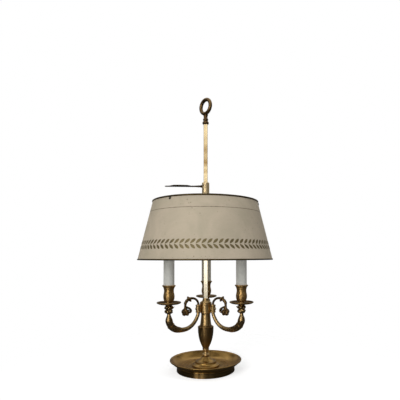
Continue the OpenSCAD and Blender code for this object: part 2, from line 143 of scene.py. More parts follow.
def share(name, description, default):
    """A property from 0 to 1."""
    return bpy.props.FloatProperty(
        name=name, description=description, default=default, min=0, max=1, subtype="FACTOR")


def count(name, description, default, least):
    """A whole number."""
    return bpy.props.IntProperty(name=name, description=description, default=default, min=least)


def watts(name, description, default):
    """The power of a light."""
    return bpy.props.FloatProperty(
        name=name, description=description, default=default, min=0, unit="POWER")


class LampShapes(bpy.types.PropertyGroup):
    """Sizes of the shade's painted detail and of the urn's flutes"""
    line_drop: length("Line below the edge", "Distance of the thin line from the top edge", 0.0257)
    line_width: length("Width of the line", "Height of the thin painted line", 0.0012)
    leaf_pairs: count("Leaf pairs", "Pairs of leaves round the shade", 82, 12)
    leaf_rise: length("Height of the band", "Middle of the leaf band above the bottom edge", 0.0327)
    leaf_length: length("Length of a leaf", "From the stem end of a leaf to its tip", 0.0147)
    leaf_width: length("Width of a leaf", "Across the middle of a leaf", 0.0057)
    urn_flutes: count("Flutes of the urn", "Shallow flutes round the urn", 26, 3)
    flute_depth: length("Depth of the flutes", "From crest to groove on the urn", 0.0004)


class LampFinishes(bpy.types.PropertyGroup):
    """Colours of the metals, paints and cards"""
    brass: colour("Bright brass", "Polished metal of the rod", (0.88, 0.73, 0.46))
    bronze: colour("Bronze", "Cast and turned metal where it is bare", (0.62, 0.40, 0.16))
    patina: colour("Patina", "Brown in grooves and on flats", (0.12, 0.07, 0.03))
    gilt: colour("Gilt", "Dull gold of the leaves", (0.222, 0.176, 0.087))
    paint: colour("Paint", "Outside of the shade", (0.497, 0.42, 0.316))
    lining: colour("Lining", "Inside of the shade", (0.74, 0.71, 0.64))
    sleeve: colour("Candle sleeve", "Pale sleeves over the lampholders", (0.58, 0.58, 0.54))
    age: share("Age", "How much of the bronze the patina covers", 0.55)


class LampStage(bpy.types.PropertyGroup):
    """Lights and lens of the studio"""
    key_light: watts("Key light", "Power of the panel at the front left", 16)
    fill_light: watts("Fill light", "Power of the broad light at the right", 6)
    top_light: watts("Top light", "Power of the light above the lamp", 5)
    front_strip: bpy.props.FloatProperty(
        name="Front strip", description="Brightness behind the camera that the rod shows", default=2.3,
        min=0)
    room: share("Room", "Grey light that reaches the lamp from all round", 0.24)
    lens: bpy.props.FloatProperty(
        name="Lens", description="Focal length on a 36 mm sensor", default=33.79, min=1, unit="CAMERA")


# ---- outlines ---------------------------------------------------------------


def arc(centre, radius, start, end, steps=16):
    """Points on a circle about centre, from angle start to angle end in degrees."""
    t = np.radians(np.linspace(start, end, steps + 1))
    return np.asarray(centre) + radius * np.stack([np.cos(t), np.sin(t)], axis=1)


def bezier(p, q, r, s, steps=24):
    """Cubic curve from p to s with handles q and r: the four points weighed by Bernstein's terms."""
    t = np.linspace(0, 1, steps + 1)[:, None]
    p, q, r, s = (np.asarray(v, float) for v in (p, q, r, s))
    return (1 - t) ** 3 * p + 3 * (1 - t) ** 2 * t * q + 3 * (1 - t) * t ** 2 * r + t ** 3 * s


def spline(rows, steps=8):
    """Smooth curve through every row: each stretch is a cubic whose end slopes are half the distance
    between the rows on both sides of it."""
    rows = np.asarray(rows, float)
    padded = np.concatenate([rows[:1], rows, rows[-1:]])
    a, b, c, d = padded[:-3], padded[1:-2], padded[2:-1], padded[3:]
    t = np.arange(steps)[:, None, None] / steps
    curve = 0.5 * (2 * b + (c - a) * t + (2 * a - 5 * b + 4 * c - d) * t ** 2
                   + (3 * b - a - 3 * c + d) * t ** 3)
    return np.concatenate([curve.transpose(1, 0, 2).reshape(-1, rows.shape[1]), rows[-1:]])


def outline(*stretches, step=0.9):
    """Joins stretches of an outline and adds points on its long straights, at most step apart."""
    line = np.concatenate([np.atleast_2d(np.asarray(s, float)) for s in stretches])
    gap = np.linalg.norm(np.diff(line, axis=0), axis=1)
    line = line[np.concatenate([[True], gap > 1e-6])]
    s = np.concatenate([[0], np.cumsum(np.linalg.norm(np.diff(line, axis=0), axis=1))])
    extra = np.arange(step, s[-1], step)
    nearest = np.abs(extra[:, None] - s[None, :]).min(axis=1)
    t = np.sort(np.concatenate([s, extra[nearest > 0.3 * step]]))
    return np.stack([np.interp(t, s, line[:, k]) for k in range(line.shape[1])], axis=1)


def bump(t, start, end, soft):
    """1 between start and end, with an S-shaped fall to 0 over the distance soft inside both of them."""
    rise = np.clip((t - start) / soft, 0, 1)
    fall = np.clip((end - t) / soft, 0, 1)
    return rise * rise * (3 - 2 * rise) * fall * fall * (3 - 2 * fall)


# ---- surfaces ---------------------------------------------------------------


def grid_faces(rows, columns, around=True, along=False):
    """Corner numbers of the quads of a grid. around joins the last column to the first, and along
    the last row to the first."""
    i, j = np.meshgrid(np.arange(rows if along else rows - 1),
                       np.arange(columns if around else columns - 1), indexing="ij")
    up, on = (i + 1) % rows, (j + 1) % columns
    return np.stack([i * columns + j, i * columns + on, up * columns + on, up * columns + j],
                    axis=-1).reshape(-1, 4)


def lathe(line, sides=128, swell=None, along=False):
    """Outline of [radius, height] turned about the lamp's axis: the point at (i, a) is
    (r cos a, r sin a, z), where swell(line, a) may change the radius r."""
    a = np.linspace(0, 2 * np.pi, sides, endpoint=False)
    r = np.repeat(line[:, :1], sides, axis=1)
    if swell:
        r = r + swell(line, a)
    z = np.repeat(line[:, 1:2], sides, axis=1)
    points = np.stack([r * np.cos(a), r * np.sin(a), z], axis=-1)
    return points.reshape(-1, 3), grid_faces(len(line), sides, True, along)


def bar(path, across, side=(0, 1, 0)):
    """A section carried along a path. At row i the section's point j lies at
    path + side * across[0][i, j] + over * across[1][i, j], where over is square to the path's
    direction and to side. The ends close on their own middle."""
    path = np.asarray(path, float)
    way = np.gradient(path, axis=0)
    way /= np.linalg.norm(way, axis=1)[:, None]
    side = np.broadcast_to(np.asarray(side, float), path.shape)
    side = side - (side * way).sum(axis=1)[:, None] * way
    side /= np.linalg.norm(side, axis=1)[:, None]
    over = np.cross(way, side)
    x, y = across
    points = path[:, None] + side[:, None] * x[..., None] + over[:, None] * y[..., None]
    ends = points.mean(axis=1, keepdims=True).repeat(points.shape[1], axis=1)
    points = np.concatenate([ends[:1], points, ends[-1:]])
    return outward(points.reshape(-1, 3), grid_faces(points.shape[0], points.shape[1]))


def oval(wide, thick, sides=24, cup=0.0):
    """Section of half width wide and half thickness thick, one row per value: its point at the angle a
    is (wide cos a, thick sin a + cup wide cos^2 a), so cup lifts the edges."""
    a = np.linspace(0, 2 * np.pi, sides, endpoint=False)[None, :]
    wide, thick = np.asarray(wide, float)[:, None], np.asarray(thick, float)[:, None]
    return wide * np.cos(a), thick * np.sin(a) + cup * wide * np.cos(a) ** 2


def outward(points, faces):
    """Turns the faces of a closed surface round where its signed volume is negative."""
    p, q, r, s = (points[faces[:, k]] for k in range(4))
    volume = (np.cross(p, q) * r).sum() + (np.cross(p, r) * s).sum()
    return points, faces if volume > 0 else faces[:, ::-1]


def turn(surface, degrees, out=0.0):
    """A surface moved out along X and then turned about the lamp's axis."""
    t = np.radians(degrees)
    about_axis = np.array([[np.cos(t), np.sin(t), 0], [-np.sin(t), np.cos(t), 0], [0, 0, 1]])
    return ((surface[0] + [out, 0, 0]) @ about_axis,) + tuple(surface[1:])


def mark_wear(mesh):
    """Writes the attribute wear: -1 in a groove, 0 on a flat, 1 on a thin edge. Each edge of the mesh
    gives both its ends the curvature there, which is twice the height that the far end lies below
    the tangent plane over the square of the edge's length. Wear is the hyperbolic tangent of a
    corner's mean curvature, softened with its neighbours'."""
    rounding = 1.1  # millimetres
    least_square = 0.01  # square millimetres, so that the shortest edges don't count too much
    softenings = 2
    count = len(mesh.vertices)
    place, normal = np.empty(count * 3), np.empty(count * 3)
    mesh.vertices.foreach_get("co", place)
    mesh.vertices.foreach_get("normal", normal)
    place, normal = place.reshape(-1, 3) / MM, normal.reshape(-1, 3)
    ends = np.empty(len(mesh.edges) * 2, dtype=np.int32)
    mesh.edges.foreach_get("vertices", ends)
    a, b = ends.reshape(-1, 2).T
    step = place[b] - place[a]
    square = np.maximum((step ** 2).sum(axis=1), least_square)
    here, there = np.concatenate([a, b]), np.concatenate([b, a])
    bend = np.concatenate([-(step * normal[a]).sum(axis=1), (step * normal[b]).sum(axis=1)])
    bend = 2 * bend / np.concatenate([square, square])
    ties = np.maximum(np.bincount(here, minlength=count), 1)
    wear = np.tanh(rounding * np.bincount(here, weights=bend, minlength=count) / ties)
    for _ in range(softenings):
        near = np.bincount(here, weights=wear[there], minlength=count) / ties
        wear = 0.5 * wear + 0.5 * near
    mesh.attributes.new("wear", "FLOAT", "POINT").data.foreach_set("value", wear.astype(np.float32))


def mark_turning(mesh, centre):
    """Writes the attribute turning: the way a lathe's tool marks run, round an upright axis at centre."""
    nearest = 0.01  # millimetres, so that a corner on the axis gives no division by zero
    place = np.empty(len(mesh.vertices) * 3)
    mesh.vertices.foreach_get("co", place)
    x, y = (place.reshape(-1, 3)[:, :2] / MM - centre).T
    way = np.stack([-y, x, 0 * x], axis=1) / np.maximum(np.hypot(x, y), nearest)[:, None]
    mesh.attributes.new("turning", "FLOAT_VECTOR", "POINT").data.foreach_set(
        "vector", way.astype(np.float32).ravel())


def piece(name, surfaces, finish, body="lamp", nodes=(), crease=38, centre=(0, 0)):
    """One object from several surfaces in millimetres, at rest in the lamp's frame. A surface may
    carry the number of its own finish when finish is a list, crease is the least angle in degrees
    of a sharp edge, and centre is the axis that the piece was turned about."""
    weld = 2e-6  # metres within which two corners are one
    points, faces, kinds, count = [], [], [], 0
    for surface in surfaces:
        points.append(surface[0])
        faces.append(surface[1] + count)
        kinds.append(np.full(len(surface[1]), surface[2] if len(surface) > 2 else 0))
        count += len(surface[0])
    mesh = bpy.data.meshes.new(name)
    mesh.from_pydata((np.concatenate(points) + [0, 0, SEAM]) * MM, [], np.concatenate(faces).tolist())
    mesh.polygons.foreach_set("material_index", np.concatenate(kinds).astype(np.int32))
    work = bmesh.new()
    work.from_mesh(mesh)
    bmesh.ops.remove_doubles(work, verts=work.verts, dist=weld)
    work.to_mesh(mesh)
    work.free()
    mesh.validate()
    mesh.shade_smooth()
    mesh.set_sharp_from_angle(angle=np.radians(crease))
    mark_wear(mesh)
    mark_turning(mesh, centre)
    thing = bpy.data.objects.new(name, mesh)
    bpy.context.scene.collection.objects.link(thing)
    for each in finish if isinstance(finish, list) else [finish]:
        mesh.materials.append(each)
    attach(thing, body)
    if nodes:
        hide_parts(*nodes)


def closed(line, sides=128, swell=None):
    """Turned solid whose outline is a closed loop."""
    points, faces = lathe(line, sides, swell, along=True)
    return outward(points, faces)


def solid(line, sides=128, swell=None):
    """Turned solid whose outline starts and ends on the axis."""
    points, faces = lathe(line, sides, swell)
    return outward(points, faces)


# ---- finishes ---------------------------------------------------------------


class Recipe:
    """The node tree of one finish."""

    def __init__(self, name):
        self.material = bpy.data.materials.new(name)
        self.material.use_nodes = True
        self.tree = self.material.node_tree
        self.tree.nodes.clear()
        self.place = self.add("ShaderNodeTexCoord").outputs["Object"]

    def add(self, kind, sockets=None, **settings):
        """A node with its settings, and with a value or a link for each named or numbered socket."""
        made = self.tree.nodes.new(kind)
        for key, value in settings.items():
            setattr(made, key, value)
        for key, value in (sockets or {}).items():
            if isinstance(value, bpy.types.NodeSocket):
                self.tree.links.new(value, made.inputs[key])
            else:
                made.inputs[key].default_value = value
        return made

    def noise(self, scale, detail=4.0, rough=0.55, stretch=None, warp=0.0):
        """Cloudy pattern from 0 to 1, with scale blotches to the metre. stretch is how many times
        closer they lie along each axis."""
        place = self.place
        if stretch:
            place = self.add("ShaderNodeMapping", {0: place, 3: stretch}).outputs[0]
        return self.add("ShaderNodeTexNoise", {
            "Vector": place, "Scale": scale, "Detail": detail, "Roughness": rough, "Distortion": warp,
        }).outputs["Fac"]

    def math(self, how, a, b=0.0, c=0.0):
        """One sum of up to three values."""
        return self.add("ShaderNodeMath", {0: a, 1: b, 2: c}, operation=how).outputs[0]

    def fit(self, value, start, end, to_start=0.0, to_end=1.0):
        """value carried from start..end to to_start..to_end and held there."""
        return self.add("ShaderNodeMapRange", {
            0: value, 1: start, 2: end, 3: to_start, 4: to_end}).outputs[0]

    def ramp(self, value, stops):
        """Colour by value, through stops of (place, colour)."""
        made = self.add("ShaderNodeValToRGB", {0: value})
        elements = made.color_ramp.elements
        while len(elements) < len(stops):
            elements.new(1)
        for element, (place, shade) in zip(elements, stops):
            element.position = place
            element.color = (*shade, 1)
        return made.outputs["Color"]

    def mix(self, factor, a, b):
        """Colour a where factor is 0 and b where it is 1."""
        made = self.add("ShaderNodeMix", data_type="RGBA")
        for socket, value in zip((0, 6, 7), (factor, a, b)):
            if isinstance(value, bpy.types.NodeSocket):
                self.tree.links.new(value, made.inputs[socket])
            else:
                made.inputs[socket].default_value = value if socket == 0 else (*value, 1)
        return made.outputs[2]

    def relief(self, height, depth, strength=0.5, under=None):
        """Normal of a height pattern; depth is in metres."""
        sockets = {"Height": height, "Distance": depth, "Strength": strength}
        if under:
            sockets["Normal"] = under
        return self.add("ShaderNodeBump", sockets).outputs[0]

    def close(self, **sockets):
        """The surface shader, with sockets named by words joined with underscores."""
        named = {key.replace("_", " "): value for key, value in sockets.items()}
        made = self.add("ShaderNodeBsdfPrincipled", named)
        self.add("ShaderNodeOutputMaterial", {0: made.outputs[0]})
        return self.material


def tinted(colour, *shares):
    """A colour times three shares, one each for red, green and blue, or times one share for all."""
    return tuple(k * c for k, c in zip(shares * (3 // len(shares)), colour))


def aged_metal(name, bright, dark, level, polish=(0.2, 0.42), pits=0.3, spread=0.4, grain_share=0.15,
               turned=0.0, edges=0.5):
    """Metal under a brown patina that stays in grooves and wears off edges. level is how bare its flats
    are, from 0 to 1. Large clouds move it by up to half of spread each way, a fine grain by half of
    grain_share, and an edge is barer than a flat by edges; a negative edges paints edges darker than
    flats, as painted shade. polish is the roughness of bare metal and of patina, and pits the strength
    of the grain's relief. turned is how far fine tool marks stretch highlights across themselves."""
    r = Recipe(name)
    wear = r.add("ShaderNodeAttribute", attribute_name="wear").outputs["Fac"]
    clouds = r.noise(38, warp=0.4)
    grain = r.noise(420, detail=3, rough=0.6)
    bare = r.math("MULTIPLY_ADD", wear, edges, level - 0.5 * spread - 0.5 * grain_share)
    bare = r.math("MULTIPLY_ADD", clouds, spread, bare)
    bare = r.math("MULTIPLY_ADD", grain, grain_share, bare)
    middle = tuple(0.45 * b + 0.55 * d for b, d in zip(bright, dark))
    tone = r.ramp(bare, [(0.0, tinted(dark, 0.4)), (0.3, dark), (0.62, middle), (1.0, bright)])
    dull = r.math("MULTIPLY_ADD", bare, -0.4, r.noise(110, detail=2))
    sockets = {"Base_Color": tone, "Metallic": 1.0, "Roughness": r.fit(dull, 0.05, 0.6, *polish),
               "Normal": r.relief(grain, 0.0002, pits)}
    if turned:
        way = r.add("ShaderNodeAttribute", attribute_name="turning").outputs["Vector"]
        sockets.update(Anisotropic=turned, Anisotropic_Rotation=0.25, Tangent=way)
    return r.close(**sockets)


# How dark the rod is painted at a height in metres: partly tarnish where the shade's holder rests and
# slides, partly painted reflections of the room on its flat front face
TARNISH_AND_REFLECTION = [
    (0.15, 0.0), (0.30, 0.02), (0.445, 0.35), (0.452, 0.25), (0.46, 0.0), (0.468, 0.02), (0.475, 0.62),
    (0.484, 0.1), (0.49, 0.5), (0.497, 0.98), (0.505, 0.6), (0.512, 0.42), (0.52, 0.5), (0.529, 0.72),
    (0.537, 0.5), (0.545, 0.26), (0.585, 0.08),
]


def polished_metal(name, bright, dark, polish=(0.12, 0.26), banded=False):
    """Polished brass with drawn streaks along the rod and cloudy, tarnished patches. When it is banded,
    bands that are partly tarnished brass and partly painted reflections of the room cross it at the
    heights of the table above, and below the shade it is painted paler, as a painted highlight."""
    r = Recipe(name)
    streaks = r.noise(260, detail=3, rough=0.6, stretch=(1, 1, 0.04))
    clouds = r.noise(30, warp=0.5)
    tarnish_and_reflection = r.math("MULTIPLY_ADD", clouds, 0.7, r.math("MULTIPLY", streaks, 0.4))
    tarnish_and_reflection = r.fit(tarnish_and_reflection, 0.42, 0.8, 0, 0.5)
    if banded:
        # Bands along the rod: partly tarnish, partly painted reflections of the room on its flat face
        low_band, span = 0.15, 0.45
        height = r.add("ShaderNodeSeparateXYZ", {0: r.place}).outputs[2]
        stops = [((z - low_band) / span, (v, v, v)) for z, v in TARNISH_AND_REFLECTION]
        bands = r.ramp(r.fit(height, low_band, low_band + span), stops)
        tarnish_and_reflection = r.math("MULTIPLY_ADD", tarnish_and_reflection, 0.3, bands)
    tone = r.mix(tarnish_and_reflection, bright, dark)
    if banded:
        # Below the shade the rod is painted paler: a painted highlight of a bright thing behind the camera
        painted_highlight, highlight_from, highlight_below = (0.88, 0.81, 0.66), 0.33, 0.27
        tone = r.mix(r.fit(height, highlight_from, highlight_below), tone, painted_highlight)
    dull = r.fit(r.math("ADD", clouds, streaks), 0.7, 1.3, *polish)
    return r.close(Base_Color=tone, Metallic=1.0, Roughness=dull, Normal=r.relief(streaks, 0.0001, 0.03))


def enamel(name, base, shift, flecks=True, dullness=0.5):
    """Paint on sheet metal: cloudy tone between base and a deeper one that shift tints, brush marks
    round the shade and faint orange peel, with dark flecks and small chips when flecks is set."""
    r = Recipe(name)
    clouds = r.noise(14, detail=5, rough=0.6, warp=0.6)
    brush = r.noise(90, rough=0.6, stretch=(1, 1, 5))
    light = tuple(min(1.0, c * 1.07) for c in base)
    deep = tuple(c * 0.86 * s for c, s in zip(base, shift))
    tone = r.mix(r.fit(clouds, 0.32, 0.7), light, deep)
    tone = r.mix(r.math("MULTIPLY", r.fit(brush, 0.45, 0.75), 0.22), tone, deep)
    if flecks:
        specks = r.add("ShaderNodeTexVoronoi", {"Vector": r.place, "Scale": 120.0}).outputs["Distance"]
        spots = r.fit(specks, 0.12, 0.05)
        spots = r.math("MULTIPLY", spots, r.fit(r.noise(45, detail=3), 0.53, 0.62))
        tone = r.mix(r.math("MULTIPLY", spots, 0.6), tone, (0.12, 0.08, 0.04))
        chips = r.fit(r.noise(210, detail=2), 0.64, 0.7)
        chips = r.math("MULTIPLY", chips, r.fit(r.noise(16, detail=2), 0.54, 0.62))
        tone = r.mix(r.math("MULTIPLY", chips, 0.65), tone, (0.17, 0.13, 0.09))
    peel = r.relief(r.noise(700, detail=3), 0.0002, 0.16, r.relief(brush, 0.0004, 0.1))
    return r.close(Base_Color=tone, Roughness=r.fit(clouds, 0.3, 0.7, dullness, dullness + 0.14),
                   Normal=peel)


def plain(name, base, dark, dullness, scale, depth, **sockets):
    """A worn plain surface: two near tones in clouds, scale of them to the metre, which take its
    roughness from one end of dullness to the other, and a four times finer grain of depth in metres."""
    r = Recipe(name)
    clouds = r.noise(scale, detail=5, rough=0.6)
    tone = r.mix(r.fit(clouds, 0.3, 0.72), base, dark)
    return r.close(Base_Color=tone, Roughness=r.fit(clouds, 0.3, 0.7, *dullness),
                   Normal=r.relief(r.noise(scale * 4, detail=3), depth, 0.3), **sockets)


# Every finish by the name of the piece or the stuff that it is for, filled by the first operator
FINISH = {}


def bronze_finishes(tones):
    """Cast, turned and spun bronze in every state of wear that shows on the lamp."""
    bronze, patina, bare = tuple(tones.bronze), tuple(tones.patina), 1.0 - tones.age
    yellow, olive = tinted(bronze, 1.06, 1.13, 1.3), tinted(patina, 1.0, 1.16, 1.3)
    golden, straw = tinted(bronze, 1.03, 0.97, 0.69), tinted(bronze, 0.96, 1.0, 0.88)
    dark_bronze, dark_patina = tinted(bronze, 0.6), tinted(patina, 0.8)
    FINISH["cast"] = aged_metal("cast_bronze", yellow, olive, bare + 0.1, polish=(0.2, 0.36), pits=0.16,
                                spread=0.3, grain_share=0.1)
    FINISH["scroll"] = aged_metal("dull_cast_bronze", bronze, patina, bare - 0.2, polish=(0.24, 0.4),
                                  pits=0.16, spread=0.3, grain_share=0.1)
    FINISH["turned"] = aged_metal("turned_brass", yellow, olive, bare + 0.36, polish=(0.34, 0.46),
                                  pits=0.03, spread=0.25, grain_share=0.04, turned=0.8)
    FINISH["cup"] = aged_metal("turned_cup_brass", bronze, patina, bare + 0.42, polish=(0.44, 0.54),
                               pits=0.03, spread=0.25, grain_share=0.04, turned=0.8)
    # On the tray an edge is painted darker than a flat: painted shade on and under the rolled lip
    FINISH["tray"] = aged_metal("spun_tray_brass", golden, patina, bare + 0.2, polish=(0.28, 0.42),
                                pits=0.03, spread=0.45, grain_share=0.05, turned=0.4, edges=-0.2)
    # The skirt's brass is a darker copy of the tray's: painted shade where it mirrors the dark room
    FINISH["skirt"] = aged_metal("shaded_skirt_brass", straw, patina, bare - 0.02, polish=(0.28, 0.37),
                                 pits=0.02, spread=0.15, grain_share=0.04, turned=0.9)
    FINISH["pan"] = aged_metal("dull_pan_brass", bronze, patina, bare - 0.1, polish=(0.3, 0.42),
                               pits=0.04, spread=0.4, grain_share=0.06, turned=0.4)
    FINISH["urn"] = aged_metal("dark_turned_bronze", dark_bronze, dark_patina, bare + 0.17,
                               polish=(0.36, 0.46), pits=0.03, spread=0.25, grain_share=0.05, turned=0.8)
    FINISH["ring"] = aged_metal("dark_bronze", dark_bronze, dark_patina, bare - 0.05,
                                polish=(0.28, 0.42), pits=0.16, spread=0.3, grain_share=0.14)
    FINISH["finial"] = aged_metal("dark_finial_bronze", dark_bronze, dark_patina, bare - 0.2,
                                  polish=(0.3, 0.44), pits=0.16, spread=0.3, grain_share=0.14)
    FINISH["key"] = aged_metal("key_bronze", tinted(bronze, 0.15), tinted(patina, 0.3), bare,
                               polish=(0.4, 0.5), pits=0.1, spread=0.2, grain_share=0.1)


def brass_finishes(tones):
    """Polished brass of the rod and the screws, and the tarnished brass of the shade's holder."""
    brass, patina, bare = tuple(tones.brass), tuple(tones.patina), 1.0 - tones.age
    brown = (0.42, 0.28, 0.12)
    FINISH["polished"] = polished_metal("polished_brass", brass, brown)
    # The rod's brass carries painted reflections in bands and a painted highlight below the shade
    FINISH["rod"] = polished_metal("polished_rod", brass, brown, (0.1, 0.2), banded=True)
    FINISH["collar"] = aged_metal("tarnished_collar", brass, tinted(patina, 2), bare + 0.35,
                                  polish=(0.5, 0.6), pits=0.02, spread=0.2, grain_share=0.03)


def shade_finishes(tones):
    """Paint, lining, rims, line, leaves and rivets of the shade."""
    gilt, paint, bare = tuple(tones.gilt), tuple(tones.paint), 1.0 - tones.age
    FINISH["paint"] = enamel("shade_paint", paint, (0.97, 1.0, 0.97))
    FINISH["lining"] = enamel("shade_lining", tuple(tones.lining), (1.0, 1.0, 0.97), flecks=False,
                              dullness=0.6)
    FINISH["rim"] = aged_metal("shade_rim", tinted(gilt, 0.65), tinted(tones.patina, 0.45), bare,
                               polish=(0.4, 0.55), pits=0.06)
    FINISH["leaf"] = plain("leaf_paint", gilt, tinted(gilt, 0.6), dullness=(0.42, 0.55), scale=60,
                           depth=0.0001, Metallic=0.6)
    FINISH["line"] = plain("worn_line", (0.07, 0.045, 0.022), tinted(paint, 0.6), dullness=(0.5, 0.6),
                           scale=150, depth=0.0001)
    FINISH["rivet"] = plain("blackened_rivet", (0.03, 0.024, 0.016), (0.016, 0.013, 0.01),
                            dullness=(0.5, 0.6), scale=300, depth=0.0002)


def candle_finishes(tones):
    """Card of the sleeves, glass of the bulbs and what holds them."""
    card = tuple(tones.sleeve)
    FINISH["sleeve"] = plain("candle_sleeve_card", card, tinted(card, 0.88), dullness=(0.5, 0.66),
                             scale=60, depth=0.0002)
    # The back sleeve's card is painted darker and yellower: painted shade from the rod and the shade above
    # it
    FINISH["shaded_sleeve"] = plain("shaded_sleeve_card", tinted(card, 0.8, 0.74, 0.62),
                                 tinted(card, 0.7, 0.64, 0.52), dullness=(0.5, 0.66), scale=60,
                                 depth=0.0002)
    FINISH["glass"] = plain("opal_glass", (0.80, 0.79, 0.76), (0.76, 0.74, 0.70), dullness=(0.18, 0.24),
                            scale=30, depth=0.00005, Coat_Weight=0.3)
    FINISH["porcelain"] = plain("lampholder_porcelain", (0.72, 0.69, 0.62), (0.64, 0.6, 0.52),
                                dullness=(0.25, 0.4), scale=90, depth=0.0001)
    FINISH["cap"] = plain("bulb_cap_brass", (0.72, 0.60, 0.36), (0.55, 0.42, 0.22),
                          dullness=(0.25, 0.4), scale=160, depth=0.0002, Metallic=1.0)


def hidden_finishes():
    """Plated tube, iron, felt and rubber of the pieces inside and under the lamp."""
    FINISH["tube"] = plain("plated_tube", (0.62, 0.60, 0.56), (0.40, 0.37, 0.32),
                           dullness=(0.25, 0.45), scale=200, depth=0.0002, Metallic=1.0)
    FINISH["iron"] = plain("cast_iron", (0.10, 0.10, 0.10), (0.05, 0.045, 0.04), dullness=(0.6, 0.8),
                           scale=260, depth=0.0008, Metallic=0.6)
    FINISH["felt"] = plain("green_felt", (0.035, 0.085, 0.045), (0.02, 0.05, 0.03),
                           dullness=(0.85, 0.98), scale=900, depth=0.0012, Sheen_Weight=0.4)
    FINISH["rubber"] = plain("bush_rubber", (0.02, 0.02, 0.02), (0.035, 0.033, 0.03),
                             dullness=(0.5, 0.65), scale=300, depth=0.0003)


# ---- base and stem ----------------------------------------------------------


def tray_outline():
    """Closed outline of the tray: floor with a raised seat and turned rings round the foot, flaring
    wall, rolled lip, under side and skirt."""
    sheet, lip_r, bead_r = 1.5, 1.3, 0.7
    seat_z, under = FLOOR_Z + 0.8, FLOOR_Z - sheet
    seat = [[38.4, FLOOR_Z], [39.2, seat_z], [40, seat_z + 0.2], [40.9, seat_z], [41.8, FLOOR_Z]]
    rings = [arc([r, FLOOR_Z - 0.2], 0.9, 170, 10, 8) for r in (46, 52.4, 54.6)]
    wall = bezier([60, FLOOR_Z], [68, FLOOR_Z], [TRAY_R - 10, FLOOR_Z + 6.5],
                  [TRAY_R - 5.6, TRAY_TOP - 2.6], 36)
    step = [[TRAY_R - 5.5, TRAY_TOP - 2.2], [TRAY_R - 4.2, TRAY_TOP - 1.2], [TRAY_R - 3.4, TRAY_TOP - 1.4]]
    lip = arc([TRAY_R - lip_r, TRAY_TOP - lip_r], lip_r, 150, -100, 20)
    flare = bezier([TRAY_R - 2, TRAY_TOP - 2.6], [TRAY_R - 8.7, FLOOR_Z + 5.5],
                   [SKIRT_R + 1.4, FLOOR_Z + 3.4], [SKIRT_R + 0.6, FLOOR_Z + 1.9], 24)
    bead = arc([SKIRT_R - 0.1, seat_z], bead_r, 70, -70, 8)
    hem = arc([SKIRT_R - 0.5, SKIRT_LOW + 0.8], 0.6, 40, -60, 6)
    inside = [[SKIRT_R - 0.8, SKIRT_LOW], [SKIRT_R - sheet, SKIRT_LOW], [SKIRT_R - sheet, under]]
    return outline([[BORE, under], [BORE, FLOOR_Z]], seat, *rings, wall, step, lip, flare, bead,
                   [[SKIRT_R - 0.4, FLOOR_Z - 0.3]], hem, inside, step=1.6)


def foot_outline():
    """Stepped foot of the stem: a torus, a hollow, a step and a rising neck."""
    z = FLOOR_Z
    torus = arc([31.2, z + 2.1], 1.9, -60, 75, 14)
    hollow = bezier([30.4, z + 4.7], [27.4, z + 5], [25.9, z + 6.2], [25, z + 8.8], 16)
    edge = arc([24, z + 9.8], 1.05, -20, 100, 10)
    neck = bezier([23.2, z + 10.9], [15.5, z + 11.7], [13, z + 17], [8.6, FOOT_TOP - 0.6], 24)
    return outline([[BORE, z], [32, z]], torus, [[30.6, z + 4.6]], hollow, edge, neck,
                   [[8.4, FOOT_TOP], [BORE, FOOT_TOP]])


def spool_outline():
    """Bead and waisted spool between foot and urn."""
    z = FOOT_TOP
    bead = arc([5.6, z + 3.9], 3.3, -62, 70, 20)
    waist = bezier([6.2, z + 7.6], [4.9, z + 9.6], [4.9, z + 12.4], [6.4, z + 14.8], 16)
    lip = arc([6.7, z + 15.9], 0.85, -70, 70, 8)
    return outline([[BORE, z], [6.4, z], [6.6, z + 0.6]], bead, waist, lip,
                   [[6.9, SPOOL_TOP], [BORE, SPOOL_TOP]], step=0.5)


def urn_outline():
    """Slender urn with a rounded shoulder and a narrow neck ring."""
    r = width("urn")
    base = arc([7.1, SPOOL_TOP + 1.4], 0.9, -50, 60, 6)
    belly = bezier([7.5, SPOOL_TOP + 3], [11.6, 60.5], [17.4, 68], [r - 0.2, SHOULDER_Z], 60)
    shoulder = arc([r - 1.9, SHOULDER_Z + 3.6], 1.9, -30, 80, 14)
    neck = arc([r - 4.3, SHOULDER_Z + 6.6], 0.8, 20, 110, 6)
    return outline([[BORE, SPOOL_TOP], [7.1, SPOOL_TOP]], base, belly, shoulder,
                   [[r - 3.2, SHOULDER_Z + 5.8]], neck,
                   [[13.9, URN_TOP - 0.8], [13.6, URN_TOP], [BORE, URN_TOP]])


def column_outline():
    """Tapering column with a fillet at both ends."""
    return outline([[BORE, URN_TOP], [13.4, URN_TOP]], arc([13, URN_TOP + 0.8], 0.75, -60, 70, 8),
                   bezier([13, URN_TOP + 2.2], [12, 116], [11.2, 122], [10.9, COLUMN_TOP - 3.4], 24),
                   arc([11.3, COLUMN_TOP - 1.6], 0.9, -70, 80, 8),
                   [[11.5, COLUMN_TOP], [BORE, COLUMN_TOP]])


def hub_outline():
    """Hub between two fillets, which the arms' clasps grip."""
    low_fillet = arc([HUB_R - 1.3, COLUMN_TOP + 2.1], 1.3, -80, 50, 10)
    drum = [[HUB_R - 0.7, COLUMN_TOP + 3.5], [HUB_R - 0.7, HUB_TOP - 4.1]]
    top_fillet = arc([HUB_R - 1.2, HUB_TOP - 1.9], 1.2, -60, 80, 10)
    return outline([[BORE, COLUMN_TOP], [13, COLUMN_TOP]], low_fillet, drum, top_fillet,
                   [[13.2, HUB_TOP], [BORE, HUB_TOP]])


